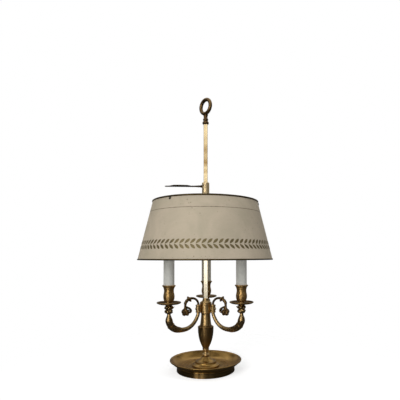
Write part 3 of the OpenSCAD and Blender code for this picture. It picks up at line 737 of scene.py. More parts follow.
def cap_outline():
    """Domed cap that closes the hub round the rod."""
    dome = bezier([13.7, HUB_TOP + 1.9], [11.2, HUB_TOP + 3.3], [7.9, HUB_TOP + 4.8],
                  [7.2, CAP_TOP - 2.6], 18)
    return outline([[0, HUB_TOP], [13.4, HUB_TOP]], arc([13.3, HUB_TOP + 0.9], 0.8, -60, 60, 8), dome,
                   arc([6.6, CAP_TOP - 1.4], 0.8, -60, 80, 8), [[6.2, CAP_TOP], [0, CAP_TOP]], step=0.6)


def tray_piece():
    """Tray with its skirt in a darker finish, which is painted shade where the skirt mirrors the dark
    room.
    """
    sides = 192
    line = tray_outline()
    middle = (line + np.roll(line, -1, axis=0)) / 2
    skirt = (middle[:, 0] > SKIRT_R - 2) & (middle[:, 1] < FLOOR_Z + 1.6)
    tray = closed(line, sides) + (np.repeat(skirt, sides),)
    piece("tray_spun", [tray], [FINISH["tray"], FINISH["skirt"]], nodes=["tray"])


def urn_piece(flutes, depth):
    """Urn with shallow flutes: its radius swells by half of depth times 2|cos(na / 2)| - 1 at the
    angle a for n flutes, which fade out at the urn's base and shoulder."""
    def swell(line, a):
        strength = depth / 2 * bump(line[:, 1:2], SPOOL_TOP + 6, SHOULDER_Z - 1, 6)
        outside = line[:, :1] > BORE + 1
        return strength * outside * (np.abs(np.cos(flutes / 2 * a)) * 2 - 1)

    piece("urn_fluted", [closed(urn_outline(), flutes * 8, swell)], FINISH["urn"],
          nodes=["urn"])


def stem_pieces(shapes):
    """Tray, foot, spool, urn, column, hub and cap."""
    tray_piece()
    piece("foot_turned", [closed(foot_outline())], FINISH["tray"], nodes=["stem_foot"])
    piece("spool_turned", [closed(spool_outline())], FINISH["turned"], nodes=["spool"])
    urn_piece(shapes.urn_flutes, shapes.flute_depth / MM)
    piece("column_turned", [closed(column_outline())], FINISH["turned"], nodes=["column"])
    piece("hub_turned", [closed(hub_outline())], FINISH["turned"], nodes=["arm_hub"])
    piece("hub_cap_turned", [solid(cap_outline())], FINISH["turned"], nodes=["hub_cap"])


# ---- rod and ring -----------------------------------------------------------


def finial_outline():
    """Turned base of the ring: a stud let into the rod, a bead, a fine ring, a flatter bead and a neck."""
    z = ROD_TOP
    neck = bezier([5.2, z + 15.4], [4.5, z + 18], [4.6, z + 21.5], [6.2, z + 24.6], 12)
    return outline([[0, z - 11], [2.5, z - 11], [2.5, z], [5.6, z]], arc([4, z + 4.1], 3.9, -70, 70, 20),
                   arc([5.3, z + 9], 0.5, -60, 60, 4), arc([4.7, z + 12.4], 1.9, -65, 65, 12), neck,
                   [[0, z + 25.2]], step=0.5)


def ring_surface():
    """Upright ring, turned about the rod by the angle facing: a round bar carried round a circle,
    thinned a little at its inner and outer side."""
    rows, columns = 96, 32
    bar_r, facing = 4.4, np.radians(-47)
    outer = (RING_TOP - low("finial_ring")) / 2
    a = np.linspace(0, 2 * np.pi, rows, endpoint=False)[:, None]
    b = np.linspace(0, 2 * np.pi, columns, endpoint=False)[None, :]
    r = outer - bar_r + bar_r * np.cos(b) * (1 - 0.04 * np.cos(2 * b))
    across = bar_r * np.sin(b) + 0 * a
    x, z = r * np.cos(a), r * np.sin(a) + RING_TOP - outer
    points = np.stack([x * np.cos(facing) - across * np.sin(facing),
                       x * np.sin(facing) + across * np.cos(facing), z], axis=-1)
    return outward(points.reshape(-1, 3), grid_faces(rows, columns, True, True))


def ring_pieces():
    """Turned base and ring on the rod's top."""
    piece("finial_base_turned", [solid(finial_outline(), 64)], FINISH["finial"],
          nodes=["finial_base"])
    piece("finial_ring_cast", [ring_surface()], FINISH["ring"], nodes=["finial_ring"])


# ---- arms -------------------------------------------------------------------

# Rows of reach, height and radius of the horn, in the arm's own upright plane
HORN = [[20, 135, 4.1], [20.8, 130.5, 4.1], [23, 125, 4.2], [28.5, 115.5, 4.3], [37, 106.5, 4.5],
        [48, 100.6, 4.9], [60, 98.6, 5.4], [71, 99.6, 6], [81, 103.2, 6.8], [88.5, 109.2, 7.5],
        [92.8, 116, 8.1], [94.6, 123, 8.2], [95, 129.6, 6.4], [95, 134.2, 4.5], [95, 137.5, 4.1]]

# Rows of reach, height and radius of the scroll's stalk
STALK = [[20, 153.5, 2.8], [20.5, 158, 2.6], [23, 163, 2.6], [28, 167.4, 2.6], [34, 169.5, 2.7],
         [40, 169.4, 3.1], [45.5, 167.8, 3.7], [50, 164.6, 3.4], [52.8, 160, 3], [54, 155, 2.8],
         [54.4, 150.5, 2.6], [54.2, 147, 3.5], [53.2, 143.4, 4.8], [51.8, 140, 5.4], [51.2, 138.4, 5]]


def flat_path(rows):
    """Rows of reach and height as points in the arm's own upright plane."""
    rows = np.asarray(rows, float)
    return np.stack([rows[:, 0], 0 * rows[:, 0], rows[:, 1]], axis=1)


def round_bar(rows, sides):
    """Bar of round section through rows of reach, height and radius."""
    return bar(flat_path(rows), oval(rows[:, 2], rows[:, 2], sides))


def sheath_surface():
    """Leaf sheath that wraps the horn's lower bend. At the share t along it and the angle a round it,
    its radius is the horn's with lobes |cos(3.5a)|, which set in later between the leaves' tips, and
    fine veins cos(21a). Its far end rolls outwards."""
    steps, columns = 24, 84
    first, last = 6.15, 9.35  # it reaches from one of these rows of HORN to the other
    edge_depth, edge_length = 0.34, 0.16
    fine = spline(HORN, steps)
    t = np.linspace(0, 1, 60)[:, None]
    at = steps * (first + (last - first) * t[:, 0])
    rows = np.stack([np.interp(at, np.arange(len(fine)), fine[:, k]) for k in range(3)], axis=1)
    a = np.linspace(0, 2 * np.pi, columns, endpoint=False)[None, :]
    lobes = np.abs(np.cos(3.5 * a))
    lift = np.clip((t - edge_depth * (1 - lobes)) / edge_length, 0, 1)
    veins = 0.28 * np.cos(21 * a) * np.sin(np.pi * t)
    roll = 0.7 * np.exp(-((t - 0.97) / 0.05) ** 2)
    radius = rows[:, 2:3] - 0.35 + lift * (0.75 + 0.3 * lobes + veins) + roll * (0.7 + 0.3 * lobes)
    return bar(flat_path(rows), (radius * np.cos(a), radius * np.sin(a)))


def leaf(rows, wide, thick, side=(0, 1, 0), cup=0.0, sides=20, steps=8):
    """Leaf or petal: an oval section along a smooth path, of half width wide and half thickness thick
    at each of the path's rows."""
    table = spline(np.column_stack([rows, wide, thick]), steps)
    return bar(table[:, :3], oval(table[:, 3], table[:, 4], sides, cup), side)


# Rows of reach and height of the flower's petals, in the arm's upright plane
PETALS = [
    [[53.4, 146], [56.2, 145], [59, 143.2], [60.8, 140.6], [60.4, 138], [58.4, 137], [57.2, 138.6],
     [58.2, 140]],
    [[53.6, 143], [56.4, 139.6], [59, 136], [58.6, 133], [56, 132.2], [54.6, 134], [55.8, 135.4]],
    [[52, 141], [51.6, 137], [51.4, 133.6], [49, 132], [47, 133.4], [47.8, 135.2]],
    [[52.6, 150], [49.8, 149.2], [46.4, 147.8], [43, 146], [40.4, 143.2], [39.8, 140], [41.8, 137.6],
     [45, 137.2], [47.2, 139], [46.6, 141.4], [44.6, 142.2]],
]

# Rows of reach, distance to one side and height of a petal and of a leaf that stand on both sides
SIDE_PETAL = [[52.8, 1, 145], [52.4, 4, 143], [51.6, 7, 140.4], [50.8, 8.2, 137.6], [50.2, 6.8, 136],
              [50, 5.4, 137.4]]
SIDE_LEAF = [[47.5, 0.8, 166.6], [45.6, 3, 168.6], [43.6, 4.8, 169.4], [41.4, 5.8, 168.8]]

# Rows of reach and height of the leaves that burst from the stalk above the flower
BURST = [
    [[43.2, 168.6], [45.6, 170.8], [47.4, 172.6], [48, 174.4]],
    [[45, 167.2], [42.6, 165.4], [40.6, 163.8], [39.4, 162.2]],
    [[50.4, 165], [53.4, 162], [55.2, 158.6], [54.8, 155]],
]


def scroll_surfaces():
    """Stalk with a leaf burst, a binding ring and a flower of curled petals."""
    surfaces = [round_bar(spline(STALK), 32)]
    for rows in PETALS:
        t = np.linspace(0, 1, len(rows))
        wide = 2.5 + 1.8 * np.sin(np.pi * np.clip(t * 0.85 + 0.12, 0, 1))
        surfaces.append(leaf(flat_path(rows), wide, np.linspace(2.6, 2.0, len(rows))))
    for way in (-1, 1):
        surfaces.append(leaf(np.array(SIDE_PETAL) * [1, way, 1], [2.2, 3.2, 3.4, 3, 2.4, 1.6],
                             [2, 2, 2, 2, 1.7, 1.4], (1, 0, 0.4)))
    for rows in BURST:
        surfaces.append(leaf(flat_path(rows), [3.2, 3.6, 3.2, 1.5], [2.6, 2.6, 2.2, 1.2], cup=-0.15))
    for way in (-1, 1):
        surfaces.append(leaf(np.array(SIDE_LEAF) * [1, way, 1], [2.8, 2.8, 2, 0.8], [1.8, 1.5, 1.2, 0.6],
                             (0.4, 0, 1), cup=0.15))
    surfaces.append(round_bar(np.array([[50.4, 164.1, 4.2], [51.2, 163.2, 4.1]]), 32))
    return surfaces


def cuff_outline():
    """Banded clasp: beads at both ends and two thin bands between them."""
    r, bead_r, band_r = 5.7, 1.1, 0.7
    low_band, high_band = 143.2, 145.3
    return outline([[0, CUFF_LOW], [r - 0.1, CUFF_LOW]], arc([r, CUFF_LOW + 1.5], bead_r, -70, 75, 10),
                   [[r + 0.2, CUFF_LOW + 3.4], [r + 0.2, low_band - 0.8]],
                   arc([r, low_band], band_r, -60, 60, 5), arc([r, high_band], band_r, -60, 60, 5),
                   [[r + 0.2, high_band + 0.8], [r + 0.2, CUFF_TOP - 3.4]],
                   arc([r, CUFF_TOP - 1.5], bead_r, -75, 70, 10), [[r - 0.1, CUFF_TOP], [0, CUFF_TOP]],
                   step=0.6)


def cuff_flower(z):
    """Button with three leaves above it and two below, which spread by their lean in degrees. It lies
    flat on the upright plane y = 0, with its middle at the height z."""
    button_r = 1.4
    surfaces = []
    for long, up, lean in ((4.8, 1, 0), (4.8, 1, 40), (4.8, 1, -40), (3.4, -1, 60), (3.4, -1, -60)):
        c, s = np.cos(np.radians(lean)), np.sin(np.radians(lean))
        rows = [[long * k * s, 0, z + up * long * k * c] for k in (0, 0.4, 0.8, 1)]
        surfaces.append(leaf(rows, [0.9, 1.3, 1.0, 0.3], [0.7, 0.7, 0.5, 0.3], (c, 0, -up * s), sides=14,
                             steps=5))
    button = outline([[0, -button_r]], arc([0, 0], button_r, -90, 90, 10), step=0.5)
    points, faces = solid(button, 24)
    return surfaces + [(points + [0, 0, z], faces)]


def cuff_surfaces():
    """Clasp with a flower on the arm's right side, turned a little towards the rod."""
    flower_out, facing = 6.4, -22
    points, faces = solid(cuff_outline(), 64)
    surfaces = [(points + [CUFF_REACH, 0, 0], faces)]
    t = np.radians(facing)
    place = [CUFF_REACH + flower_out * np.sin(t), -flower_out * np.cos(t), 0]
    for surface in cuff_flower(CUFF_MIDDLE - 0.6):
        points, faces = turn(surface, facing)
        surfaces.append((points + place, faces))
    return surfaces


def screw_head():
    """Slotted round head of a clasp's screw: a dome whose height drops by the slot's depth where the
    point lies within half the slot's width of the middle."""
    rows, columns = 15, 48
    head_r, dome, slot_depth, half_slot, slot_edge = 3, 2.5, 1.0, 0.62, 0.14
    u = np.linspace(0, 1, rows)[:, None]
    a = np.linspace(0, 2 * np.pi, columns, endpoint=False)[None, :]
    r = head_r * u
    height = dome * np.sqrt(np.clip(1 - (0.92 * u) ** 2, 0, 1)) + 0 * a
    slot = np.clip((half_slot - np.abs(r * np.sin(a))) / slot_edge, 0, 1)
    top = np.stack([r * np.cos(a), r * np.sin(a), height - slot_depth * slot], axis=-1)
    base = np.stack([r[::-1] * np.cos(a), r[::-1] * np.sin(a), 0 * height], axis=-1)
    points = np.concatenate([top, base]).reshape(-1, 3)
    head, faces = outward(points, grid_faces(2 * rows, columns))
    out = CUFF_REACH + 5.8
    return outward(np.stack([out + head[:, 2], head[:, 0], CUFF_MIDDLE + head[:, 1]], axis=1), faces)


def arm_pieces():
    """Horns, scrolls, clasps and their screws for all three arms."""
    kinds = (("arm", "arm", "cast", [round_bar(spline(HORN), 48), sheath_surface()]),
             ("scroll", "scroll", "scroll", scroll_surfaces()),
             ("clasp", "cuff", "turned", cuff_surfaces()))
    for side, angle in ARMS.items():
        centre = CUFF_REACH * np.array([np.cos(np.radians(angle)), np.sin(np.radians(angle))])
        for name, node, finish, surfaces in kinds:
            piece(f"{name}_{side}_cast", [turn(s, angle) for s in surfaces], FINISH[finish],
                  nodes=[f"{node}_{side}"], centre=centre)
    heads = [turn(screw_head(), angle) for angle in ARMS.values()]
    piece("clasp_screw_heads", heads, FINISH["polished"], nodes=["cuff_screws"])


# ---- candles ----------------------------------------------------------------


def knop_surfaces():
    """Rosette knop: a core whose five lobes twist one way below its waist and the other way above
    it, a collar of leaves and one long leaf point towards the stem."""
    z, lobes, leaves = KNOP_LOW, 5, 6
    waist, shoulder = 10.6, 17.4
    lower = bezier([5.4, z + 1.1], [10, z + 2.2], [9.6, z + 8.6], [6.6, z + waist], 20)
    upper = bezier([6.6, z + waist], [10.6, z + 11.4], [10.4, z + 15.6], [6.6, z + shoulder], 14)
    mouth = bezier([6.1, z + 17.6], [6.6, z + 19], [7.6, z + 20.4], [8.4, z + 22.4], 8)
    line = outline([[0, z], [3.8, z], [4.2, z + 0.9]], lower, upper, mouth,
                   [[8.4, KNOP_TOP], [0, KNOP_TOP]], step=0.5)

    def twist(rows, a):
        h = rows[:, 1:2] - z
        below = 0.13 * bump(h, 1.5, waist, 2.4) * np.cos(lobes * a + 0.35 * h)
        above = 0.15 * bump(h, 11.2, shoulder, 2) * np.cos(lobes * a - 0.55 * h + 2)
        return rows[:, :1] * (below + above)

    surfaces = [solid(line, 100, twist)]
    blade_rows = [[5.2, 0, z + 19.4], [7.6, 0, z + 18.2], [9.2, 0, z + 15.8], [9.6, 0, z + 13.4]]
    blade = leaf(blade_rows, [1.9, 2.6, 1.9, 0.3], [0.9, 0.8, 0.6, 0.25], cup=0.15, sides=14, steps=5)
    surfaces += [turn(blade, 360 / leaves * (k + 0.5)) for k in range(leaves)]
    spike = [[-4, 0, z + 13.6], [-8, 0, z + 13.9], [-11.4, 0, z + 14.8], [-14, 0, z + 15.8]]
    surfaces.append(leaf(spike, [2.6, 2.4, 1.6, 0.3], [1.9, 1.4, 0.9, 0.3], cup=0.25))
    return surfaces


def pan_surface():
    """Dished drip pan with a rolled edge and a raised seat for the cup."""
    z, top, edge_r = PAN_Z, PAN_TOP, 1.65
    foot = arc([9, KNOP_TOP + 0.6], 0.6, -90, 0, 4)
    under = bezier([10, KNOP_TOP + 0.4], [16, z - 4.4], [22, z - 3.8], [PAN_R - 1.5, top - 2.7], 24)
    edge = arc([PAN_R - edge_r, top - 1.05], edge_r, -75, 150, 12)
    dish = bezier([PAN_R - 3.4, top - 0.4], [21.5, z - 1.3], [16, z - 1.9], [10.4, z - 0.8], 24)
    return closed(outline([[BORE, KNOP_TOP], [9, KNOP_TOP]], foot, under, edge, dish,
                          [[9.6, z - 0.6], [BORE, z - 0.6]]), 96)


def cup_surface():
    """Vase-shaped cup with a ring at its foot and a beaded mouth."""
    z = CUP_LOW
    foot = arc([6.5, z + 0.9], 0.8, -60, 50, 6)
    belly = bezier([7.1, z + 1.8], [11.6, z + 4], [13.4, z + 11], [12.5, z + 18.6], 28)
    neck = bezier([12.4, z + 19], [10.6, z + 26], [10.6, z + 30], [12.6, z + 35], 24)
    flare = bezier([12.7, z + 35.3], [13.4, z + 36.8], [14.2, z + 37.2], [14.6, z + 37.8], 6)
    bead = arc([14.2, z + 39.3], 1.1, -40, 110, 12)
    inside = [[12.4, z + 40.4], [12.35, z + 37], [9.4, z + 36.4], [9.4, z + 9], [6, z + 4.4]]
    return closed(outline([[BORE, z + 4.4], [BORE, z], [6.4, z]], foot, belly, neck, flare, bead, inside,
                          step=1.2), 96)


def sleeve_surface():
    """Card tube of the candle with a rounded upper edge."""
    wall = 1.2
    edge = arc([SLEEVE_R - wall / 2, SLEEVE_TOP - wall / 2], wall / 2, 0, 180, 8)
    return closed(outline([[SLEEVE_R - wall, SLEEVE_LOW], [SLEEVE_R, SLEEVE_LOW],
                           [SLEEVE_R, SLEEVE_TOP - 0.8]], edge, step=3), 96)


def glass_surface():
    """Candle-shaped bulb: a narrow neck, a swelling and a long drawn-out tip."""
    z, r = GLASS_LOW, 17.5
    neck = bezier([7.4, z + 0.6], [9.5, z + 8], [r, z + 12], [r, z + 25], 24)
    belly = bezier([r, z + 25], [r, z + 41], [8.5, z + 56], [3.4, z + 64.6], 28)
    tip = bezier([3.4, z + 64.6], [2.4, z + 66.4], [1.6, z + 69.8], [0, z + 70], 10)
    return solid(outline([[0, z], [7.2, z]], neck, belly, tip), 64)


def candle_pieces():
    """Knops, pans, cups, sleeves and bulbs for all three candles; the back one's sleeve is painted
    darker and yellower, as painted shade.
    """
    kinds = (("rosette", "knop", "cast", "aged_bronze", knop_surfaces()),
             ("pan", "drip_pan", "pan", "aged_bronze", [pan_surface()]),
             ("vase_cup", "cup", "cup", "aged_bronze", [cup_surface()]),
             ("candle", "sleeve", "sleeve", "candle_sleeve", [sleeve_surface()]),
             ("bulb", "bulb_glass", "glass", "bulb_glass", [glass_surface()]))
    for side, angle in ARMS.items():
        centre = CANDLE_REACH * np.array([np.cos(np.radians(angle)), np.sin(np.radians(angle))])
        for name, node, finish, slot, surfaces in kinds:
            # The back sleeve takes the darker card, which is painted shade
            if name == "candle" and side == "back":
                finish = "shaded_sleeve"
            piece(f"{name}_{side}", [turn(s, angle, CANDLE_REACH) for s in surfaces], FINISH[finish],
                  nodes=[f"{node}_{side}"], centre=centre)


# ---- shade ------------------------------------------------------------------


def shade_r(z):
    """Outer radius of the shade at height z."""
    return SHADE_TOP_R + (SHADE_TOP - z) * SHADE_SLOPE


def band_on_shade(low_z, high_z, lift):
    """Thin raised band round the shade between two heights, with slanting edges."""
    sink, slant = -0.1, 0.15
    rows = [(low_z, sink), (low_z, lift * 0.7), (low_z + slant, lift), (high_z - slant, lift),
            (high_z, lift * 0.7), (high_z, sink)]
    return closed(np.array([[shade_r(z) + rise, z] for z, rise in rows]), SHADE_SIDES)


def leaf_band(shapes):
    """Two rows of painted leaves. Their stems start near the band's middle, and their tips point away
    from it and, on the front, to the right. A leaf is a grid of t along it and v across it. Its
    half width is half of wide times sin(pi t^1.15)^0.75, its middle line bends with t squared, and
    it stands off the sheet by most in its middle, with sin(pi t)(1 - v^2)."""
    rows, columns = 13, 5
    stem_gap, bend, lean = 0.4, 0.3, np.radians(43)
    pairs = shapes.leaf_pairs
    long, wide = shapes.leaf_length / MM, shapes.leaf_width / MM
    mid_z = SHADE_LOW + shapes.leaf_rise / MM
    t = np.linspace(0, 1, rows)[:, None]
    v = np.linspace(-1, 1, columns)[None, :]
    half = 0.5 * wide * np.sin(np.pi * t ** 1.15) ** 0.75
    along = long * t + 0 * v
    aside = half * v - bend * t * t
    rise = 0.02 + 0.22 * np.sin(np.pi * np.clip(t, 0.02, 0.98)) * (1 - v * v)
    across = along * np.cos(lean) - aside * np.sin(lean)
    up = along * np.sin(lean) + aside * np.cos(lean)
    turns = 2 * np.pi * np.arange(pairs) / pairs
    angle = turns[:, None, None] + across / shade_r(mid_z)
    one = grid_faces(rows, columns, False, False)
    faces = (one[None] + rows * columns * np.arange(pairs)[:, None, None]).reshape(-1, 4)
    surfaces = []
    for way in (1, -1):
        height = np.broadcast_to(mid_z + way * (up + stem_gap), angle.shape)
        r = shade_r(height) + rise
        points = np.stack([r * np.cos(angle), r * np.sin(angle), height], axis=-1).reshape(-1, 3)
        surfaces.append((points, faces if way > 0 else faces[:, ::-1]))
    return surfaces


def rim_surface(z, thick):
    """Rolled trim of the radius thick over an edge of the sheet."""
    return closed(arc([shade_r(z) - SHADE_WALL / 2, z], thick, 0, 345, 23), SHADE_SIDES)


def rivet_surfaces():
    """Three round heads on the sheet and their ends inside it, square to the sheet."""
    head_r, shank_r, first = 3.1, 1.4, 234
    grip = SHADE_WALL + 2
    tail = [[0, -grip - 1], [1.6, -grip - 0.9], [2.3, -grip], [shank_r, -grip], [shank_r, 0]]
    dome = bezier([head_r, 0], [head_r - 0.1, 1], [1.8, 1.7], [0, 1.8], 10)
    points, faces = solid(outline(tail, dome, step=0.5), 32)
    lean = np.arctan(SHADE_SLOPE)
    x, y, up = points.T
    out = shade_r(RIVET_Z) + up * np.cos(lean) - x * np.sin(lean)
    stood = np.stack([out, y, RIVET_Z + up * np.sin(lean) + x * np.cos(lean)], axis=1)
    return [turn(outward(stood, faces), first + 120 * k) for k in range(3)]


def sheet_surfaces():
    """Outside and inside of the shade's sheet and its two edges, each with the number of its finish:
    0 for the paint and 1 for the lining."""
    steps = np.linspace(0, 1, 25)[:, None]
    start = np.array([[shade_r(SHADE_LOW), SHADE_LOW]])
    end = np.array([[shade_r(SHADE_TOP), SHADE_TOP]])
    inset = np.array([[SHADE_WALL, 0]])
    line = start + (end - start) * steps
    return [lathe(line, SHADE_SIDES) + (0,), lathe(line[::-1] - inset, SHADE_SIDES) + (1,),
            lathe(np.concatenate([start - inset, start]), SHADE_SIDES) + (0,),
            lathe(np.concatenate([end, end - inset]), SHADE_SIDES) + (0,)]


def shade_pieces(shapes):
    """Painted sheet with its rims, line, leaf band and rivets."""
    piece("shade_sheet", sheet_surfaces(), [FINISH["paint"], FINISH["lining"]], "shade",
          ["shade_shell"])
    piece("shade_top_rim", [rim_surface(SHADE_TOP, 2.1)], FINISH["rim"], "shade", ["rim_top"])
    piece("shade_bottom_rim", [rim_surface(SHADE_LOW, 1.6)], FINISH["rim"], "shade",
          ["rim_bottom"])
    piece("shade_rivets", rivet_surfaces(), FINISH["rivet"], "shade", ["spider_rivets"])
    line_top = SHADE_TOP - shapes.line_drop / MM
    line = band_on_shade(line_top - shapes.line_width / MM, line_top, 0.12)
    piece("shade_line", [line], FINISH["line"], "shade")
    piece("shade_leaves", leaf_band(shapes), FINISH["leaf"], "shade", crease=80)


# ---- key --------------------------------------------------------------------


def key_blade():
    """Flat leaf with a raised midrib and slanting veins. Its half width follows a beech leaf's edge
    with small teeth, and its faces stand off its middle plane by a rib along the middle and by
    waves that slant towards the tip. Its sides cup upwards with v squared."""
    rows, columns = 140, 41
    start, tooth = 13.0, 5.2
    rib_wide, most_thick = 0.9, 1.9
    t = np.linspace(0, 1, rows)[:, None]
    v = np.linspace(-1, 1, columns)[None, :]
    along = start + (KEY_REACH - start) * t
    edge = spline([[start, 1.6], [30, 3.9], [48, 7.2], [62, 8.6], [74, 8.4], [86, 5.6], [94, 2.4],
                   [KEY_REACH, 0.05]], 12)
    half = np.interp(along[:, 0], edge[:, 0], edge[:, 1])[:, None]
    half = half - 0.35 * np.abs(np.sin(np.pi * along / tooth)) * bump(along, 22, 92, 8)
    rib = 0.9 * np.exp(-(v * half / rib_wide) ** 2) * (1 - 0.5 * t)
    veins = 0.16 * np.cos(2 * np.pi * (along / tooth - 0.55 * np.abs(v) * half / tooth)) * (1 - v ** 8)
    thick = 0.5 + 0.5 * (1 - v ** 2) + rib + veins
    thick = thick * np.clip((1 - np.abs(v)) / 0.06, 0.35, 1) * np.clip((1 - t) / 0.02, 0.2, 1)
    thick = np.minimum(thick, most_thick)
    cup = 1.9 * v * v * bump(along, 30, 90, 16)
    top = np.stack([-along + 0 * v, v * half, cup + thick], axis=-1)
    bottom = np.stack([-along + 0 * v, v * half, cup - thick], axis=-1)[:, ::-1]
    points = np.concatenate([top, bottom], axis=1)
    ends = points.mean(axis=1, keepdims=True).repeat(2 * columns, axis=1)
    points = np.concatenate([ends[:1], points, ends[-1:]])
    return outward(points.reshape(-1, 3) + [0, 0, KEY_Z], grid_faces(rows + 2, 2 * columns))


def key_shaft():
    """Screw that enters the collar, a turned bead and a stem that thins into the leaf."""
    bead = arc([3.2, 11.2], 0.7, -50, 60, 5)
    waist = bezier([3, 12], [2.1, 12.6], [2, 14], [2.3, 15.6], 8)
    ring = arc([2.3, 16.4], 0.6, -60, 70, 5)
    stem = bezier([2.3, 17.2], [2, 22], [1.6, 28], [0.9, 36], 8)
    line = outline([[0, 5.1], [2.6, 5.1]], [[3, 5.5], [3, 10.5]], bead, waist, ring, stem, [[0, 37]],
                   step=0.5)
    points, faces = solid(line, 40)
    return outward(np.stack([-points[:, 2], points[:, 0], KEY_Z + points[:, 1]], axis=1), faces)


def key_piece():
    """Leaf key on its screw."""
    piece("key_leaf", [key_blade(), key_shaft()], FINISH["key"], "key", ["leaf_key"])


# ---- CAD nodes that keep their shape ------------------------------------------

# Finish of every CAD node that keeps its shape
KEPT = {
    "felt_pad": "felt",
    "ballast_ring": "iron",
    "tie_tube": "tube",
    "tie_washer": "iron",
    "tie_nut": "cap",
    "cord_bush": "rubber",
    "rod": "rod",
    "nipples": "tube",
    "shade_collar": "collar",
    "spider": "polished",
    **{f"lampholder_{side}": "porcelain" for side in ARMS},
    **{f"bulb_cap_{side}": "cap" for side in ARMS},
}


def dress_kept_nodes():
    """Gives every CAD node that keeps its shape its finish."""
    for name, finish in KEPT.items():
        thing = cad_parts[name]
        for place in thing.material_slots:
            place.material = FINISH[finish]
        if not thing.material_slots:
            thing.data.materials.append(FINISH[finish])


# ---- stage ------------------------------------------------------------------


def soft_light(name, place, turn_by, size, power):
    """Rectangular studio light that looks along its own -Z. Shiny pieces don't show it, because they
    mirror the tent instead."""
    panel = bpy.data.lights.new(name, "AREA")
    panel.shape = "RECTANGLE"
    panel.size, panel.size_y = size
    panel.energy = power
    thing = bpy.data.objects.new(name, panel)
    thing.location = place
    thing.rotation_euler = Euler(np.radians(turn_by))
    thing.visible_glossy = False
    bpy.context.scene.collection.objects.link(thing)


def aimed(azimuth, away, height):
    """Place and turn of a light round the lamp that looks at its middle: azimuth in degrees from +X,
    away and height in metres."""
    middle = 0.3
    a = np.radians(azimuth)
    place = (away * np.cos(a), away * np.sin(a), height)
    tilt = 90 - np.degrees(np.arctan2(height - middle, away))
    return place, (tilt, 0, azimuth + 90)


def staged(name, line, sides, finish):
    """A turned surface of the studio, which is no part of the lamp."""
    points, faces = lathe(np.array(line), sides)
    mesh = bpy.data.meshes.new(name)
    mesh.from_pydata(points * MM, [], faces.tolist())
    mesh.validate()
    mesh.materials.append(finish)
    thing = bpy.data.objects.new(name, mesh)
    bpy.context.scene.collection.objects.link(thing)
    return thing


def studio_floor():
    """Pale disc that looks white to the camera where no shadow falls, and fades out with distance.
    Mirrors see it darker."""
    drop, glow = -0.1, 0.62
    fade_from, fade_to = 0.14, 0.5
    card_grey, mirrored_grey = 0.9, 0.12
    r = Recipe("studio_floor_card")
    path = r.add("ShaderNodeLightPath")
    seen = path.outputs["Is Camera Ray"]
    reach = r.add("ShaderNodeVectorMath", {0: r.place}, operation="LENGTH").outputs["Value"]
    fade = r.math("MULTIPLY", r.fit(reach, fade_from, fade_to), seen)
    grey = r.fit(path.outputs["Is Glossy Ray"], 0, 1, card_grey, mirrored_grey)
    tone = r.add("ShaderNodeCombineColor", {0: grey, 1: grey, 2: grey}).outputs[0]
    card = r.add("ShaderNodeBsdfDiffuse", {0: tone}).outputs[0]
    light = r.add("ShaderNodeEmission", {0: (1, 1, 1, 1), 1: r.math("MULTIPLY", seen, glow)}).outputs[0]
    lit = r.add("ShaderNodeAddShader", {0: card, 1: light}).outputs[0]
    clear = r.add("ShaderNodeBsdfTransparent").outputs[0]
    both = r.add("ShaderNodeMixShader", {0: fade, 1: lit, 2: clear}).outputs[0]
    r.add("ShaderNodeOutputMaterial", {0: both})
    radii = (1500, 500, 200, 60, 0)
    staged("studio_floor", [[radius, drop] for radius in radii], 96, r.material)


# Strips of light on the tent: azimuth and half width in degrees, brightness, lowest and highest metre
STRIPS = [
    (236, 4.6, 7.0, 0.0, 1.3), (256, 3.6, 6.6, 0.0, 1.3), (290, 6, 0.5, 0.0, 1.2),
    (60, 14, 0.4, 0.2, 1.4), (95, 40, 0.1, 0.2, 1.2), (128, 10, 0.4, 0.2, 1.4),
]


def reflected_tent(front):
    """Round dark tent with strips of light, which only shiny surfaces see, as a photographer sets it
    to give brass its depth. A strip's brightness falls off smoothly at its edges. The strip behind
    the camera changes with height, as the rod shows it."""
    tent_r, tent_low, tent_high = 2100, -500, 1600
    front_at, front_inner, front_outer = 269.2, 2.0, 3.4
    front_low, front_high = -0.2, 1.4
    front_levels = [(0.0, 0.1), (0.16, 0.65), (0.32, 1.0), (0.5, 0.58), (0.95, 0.52)]
    r = Recipe("reflected_tent")
    x, y, z = r.add("ShaderNodeSeparateXYZ", {0: r.place}).outputs
    azimuth = r.math("DEGREES", r.math("ARCTAN2", y, x))
    azimuth = r.math("MODULO", r.math("ADD", azimuth, 360), 360)
    total = r.fit(r.noise(3, detail=2), 0.3, 0.7, 0.065, 0.105)
    for middle, half, bright, low_z, high_z in STRIPS:
        away = r.math("ABSOLUTE", r.math("SUBTRACT", azimuth, middle))
        across = r.fit(away, half * 0.5, half * 1.5, 1.0, 0.0)
        above = r.fit(z, low_z - 0.1, low_z + 0.1)
        below = r.fit(z, high_z, high_z + 0.3, 1.0, 0.0)
        level = r.math("MULTIPLY", across, r.math("MULTIPLY", above, below))
        total = r.math("MULTIPLY_ADD", level, bright, total)
    away = r.math("ABSOLUTE", r.math("SUBTRACT", azimuth, front_at))
    across = r.fit(away, front_inner, front_outer, 1.0, 0.0)
    levels = r.ramp(r.fit(z, front_low, front_high), [(at, (v, v, v)) for at, v in front_levels])
    total = r.math("MULTIPLY_ADD", r.math("MULTIPLY", across, levels), front, total)
    shader = r.add("ShaderNodeEmission", {0: (1.0, 0.96, 0.88, 1), 1: total}).outputs[0]
    r.add("ShaderNodeOutputMaterial", {0: shader})
    tent = staged("reflected_tent", [[tent_r, tent_low], [tent_r, tent_high]], 96, r.material)
    tent.visible_camera = tent.visible_diffuse = tent.visible_shadow = tent.visible_transmission = False


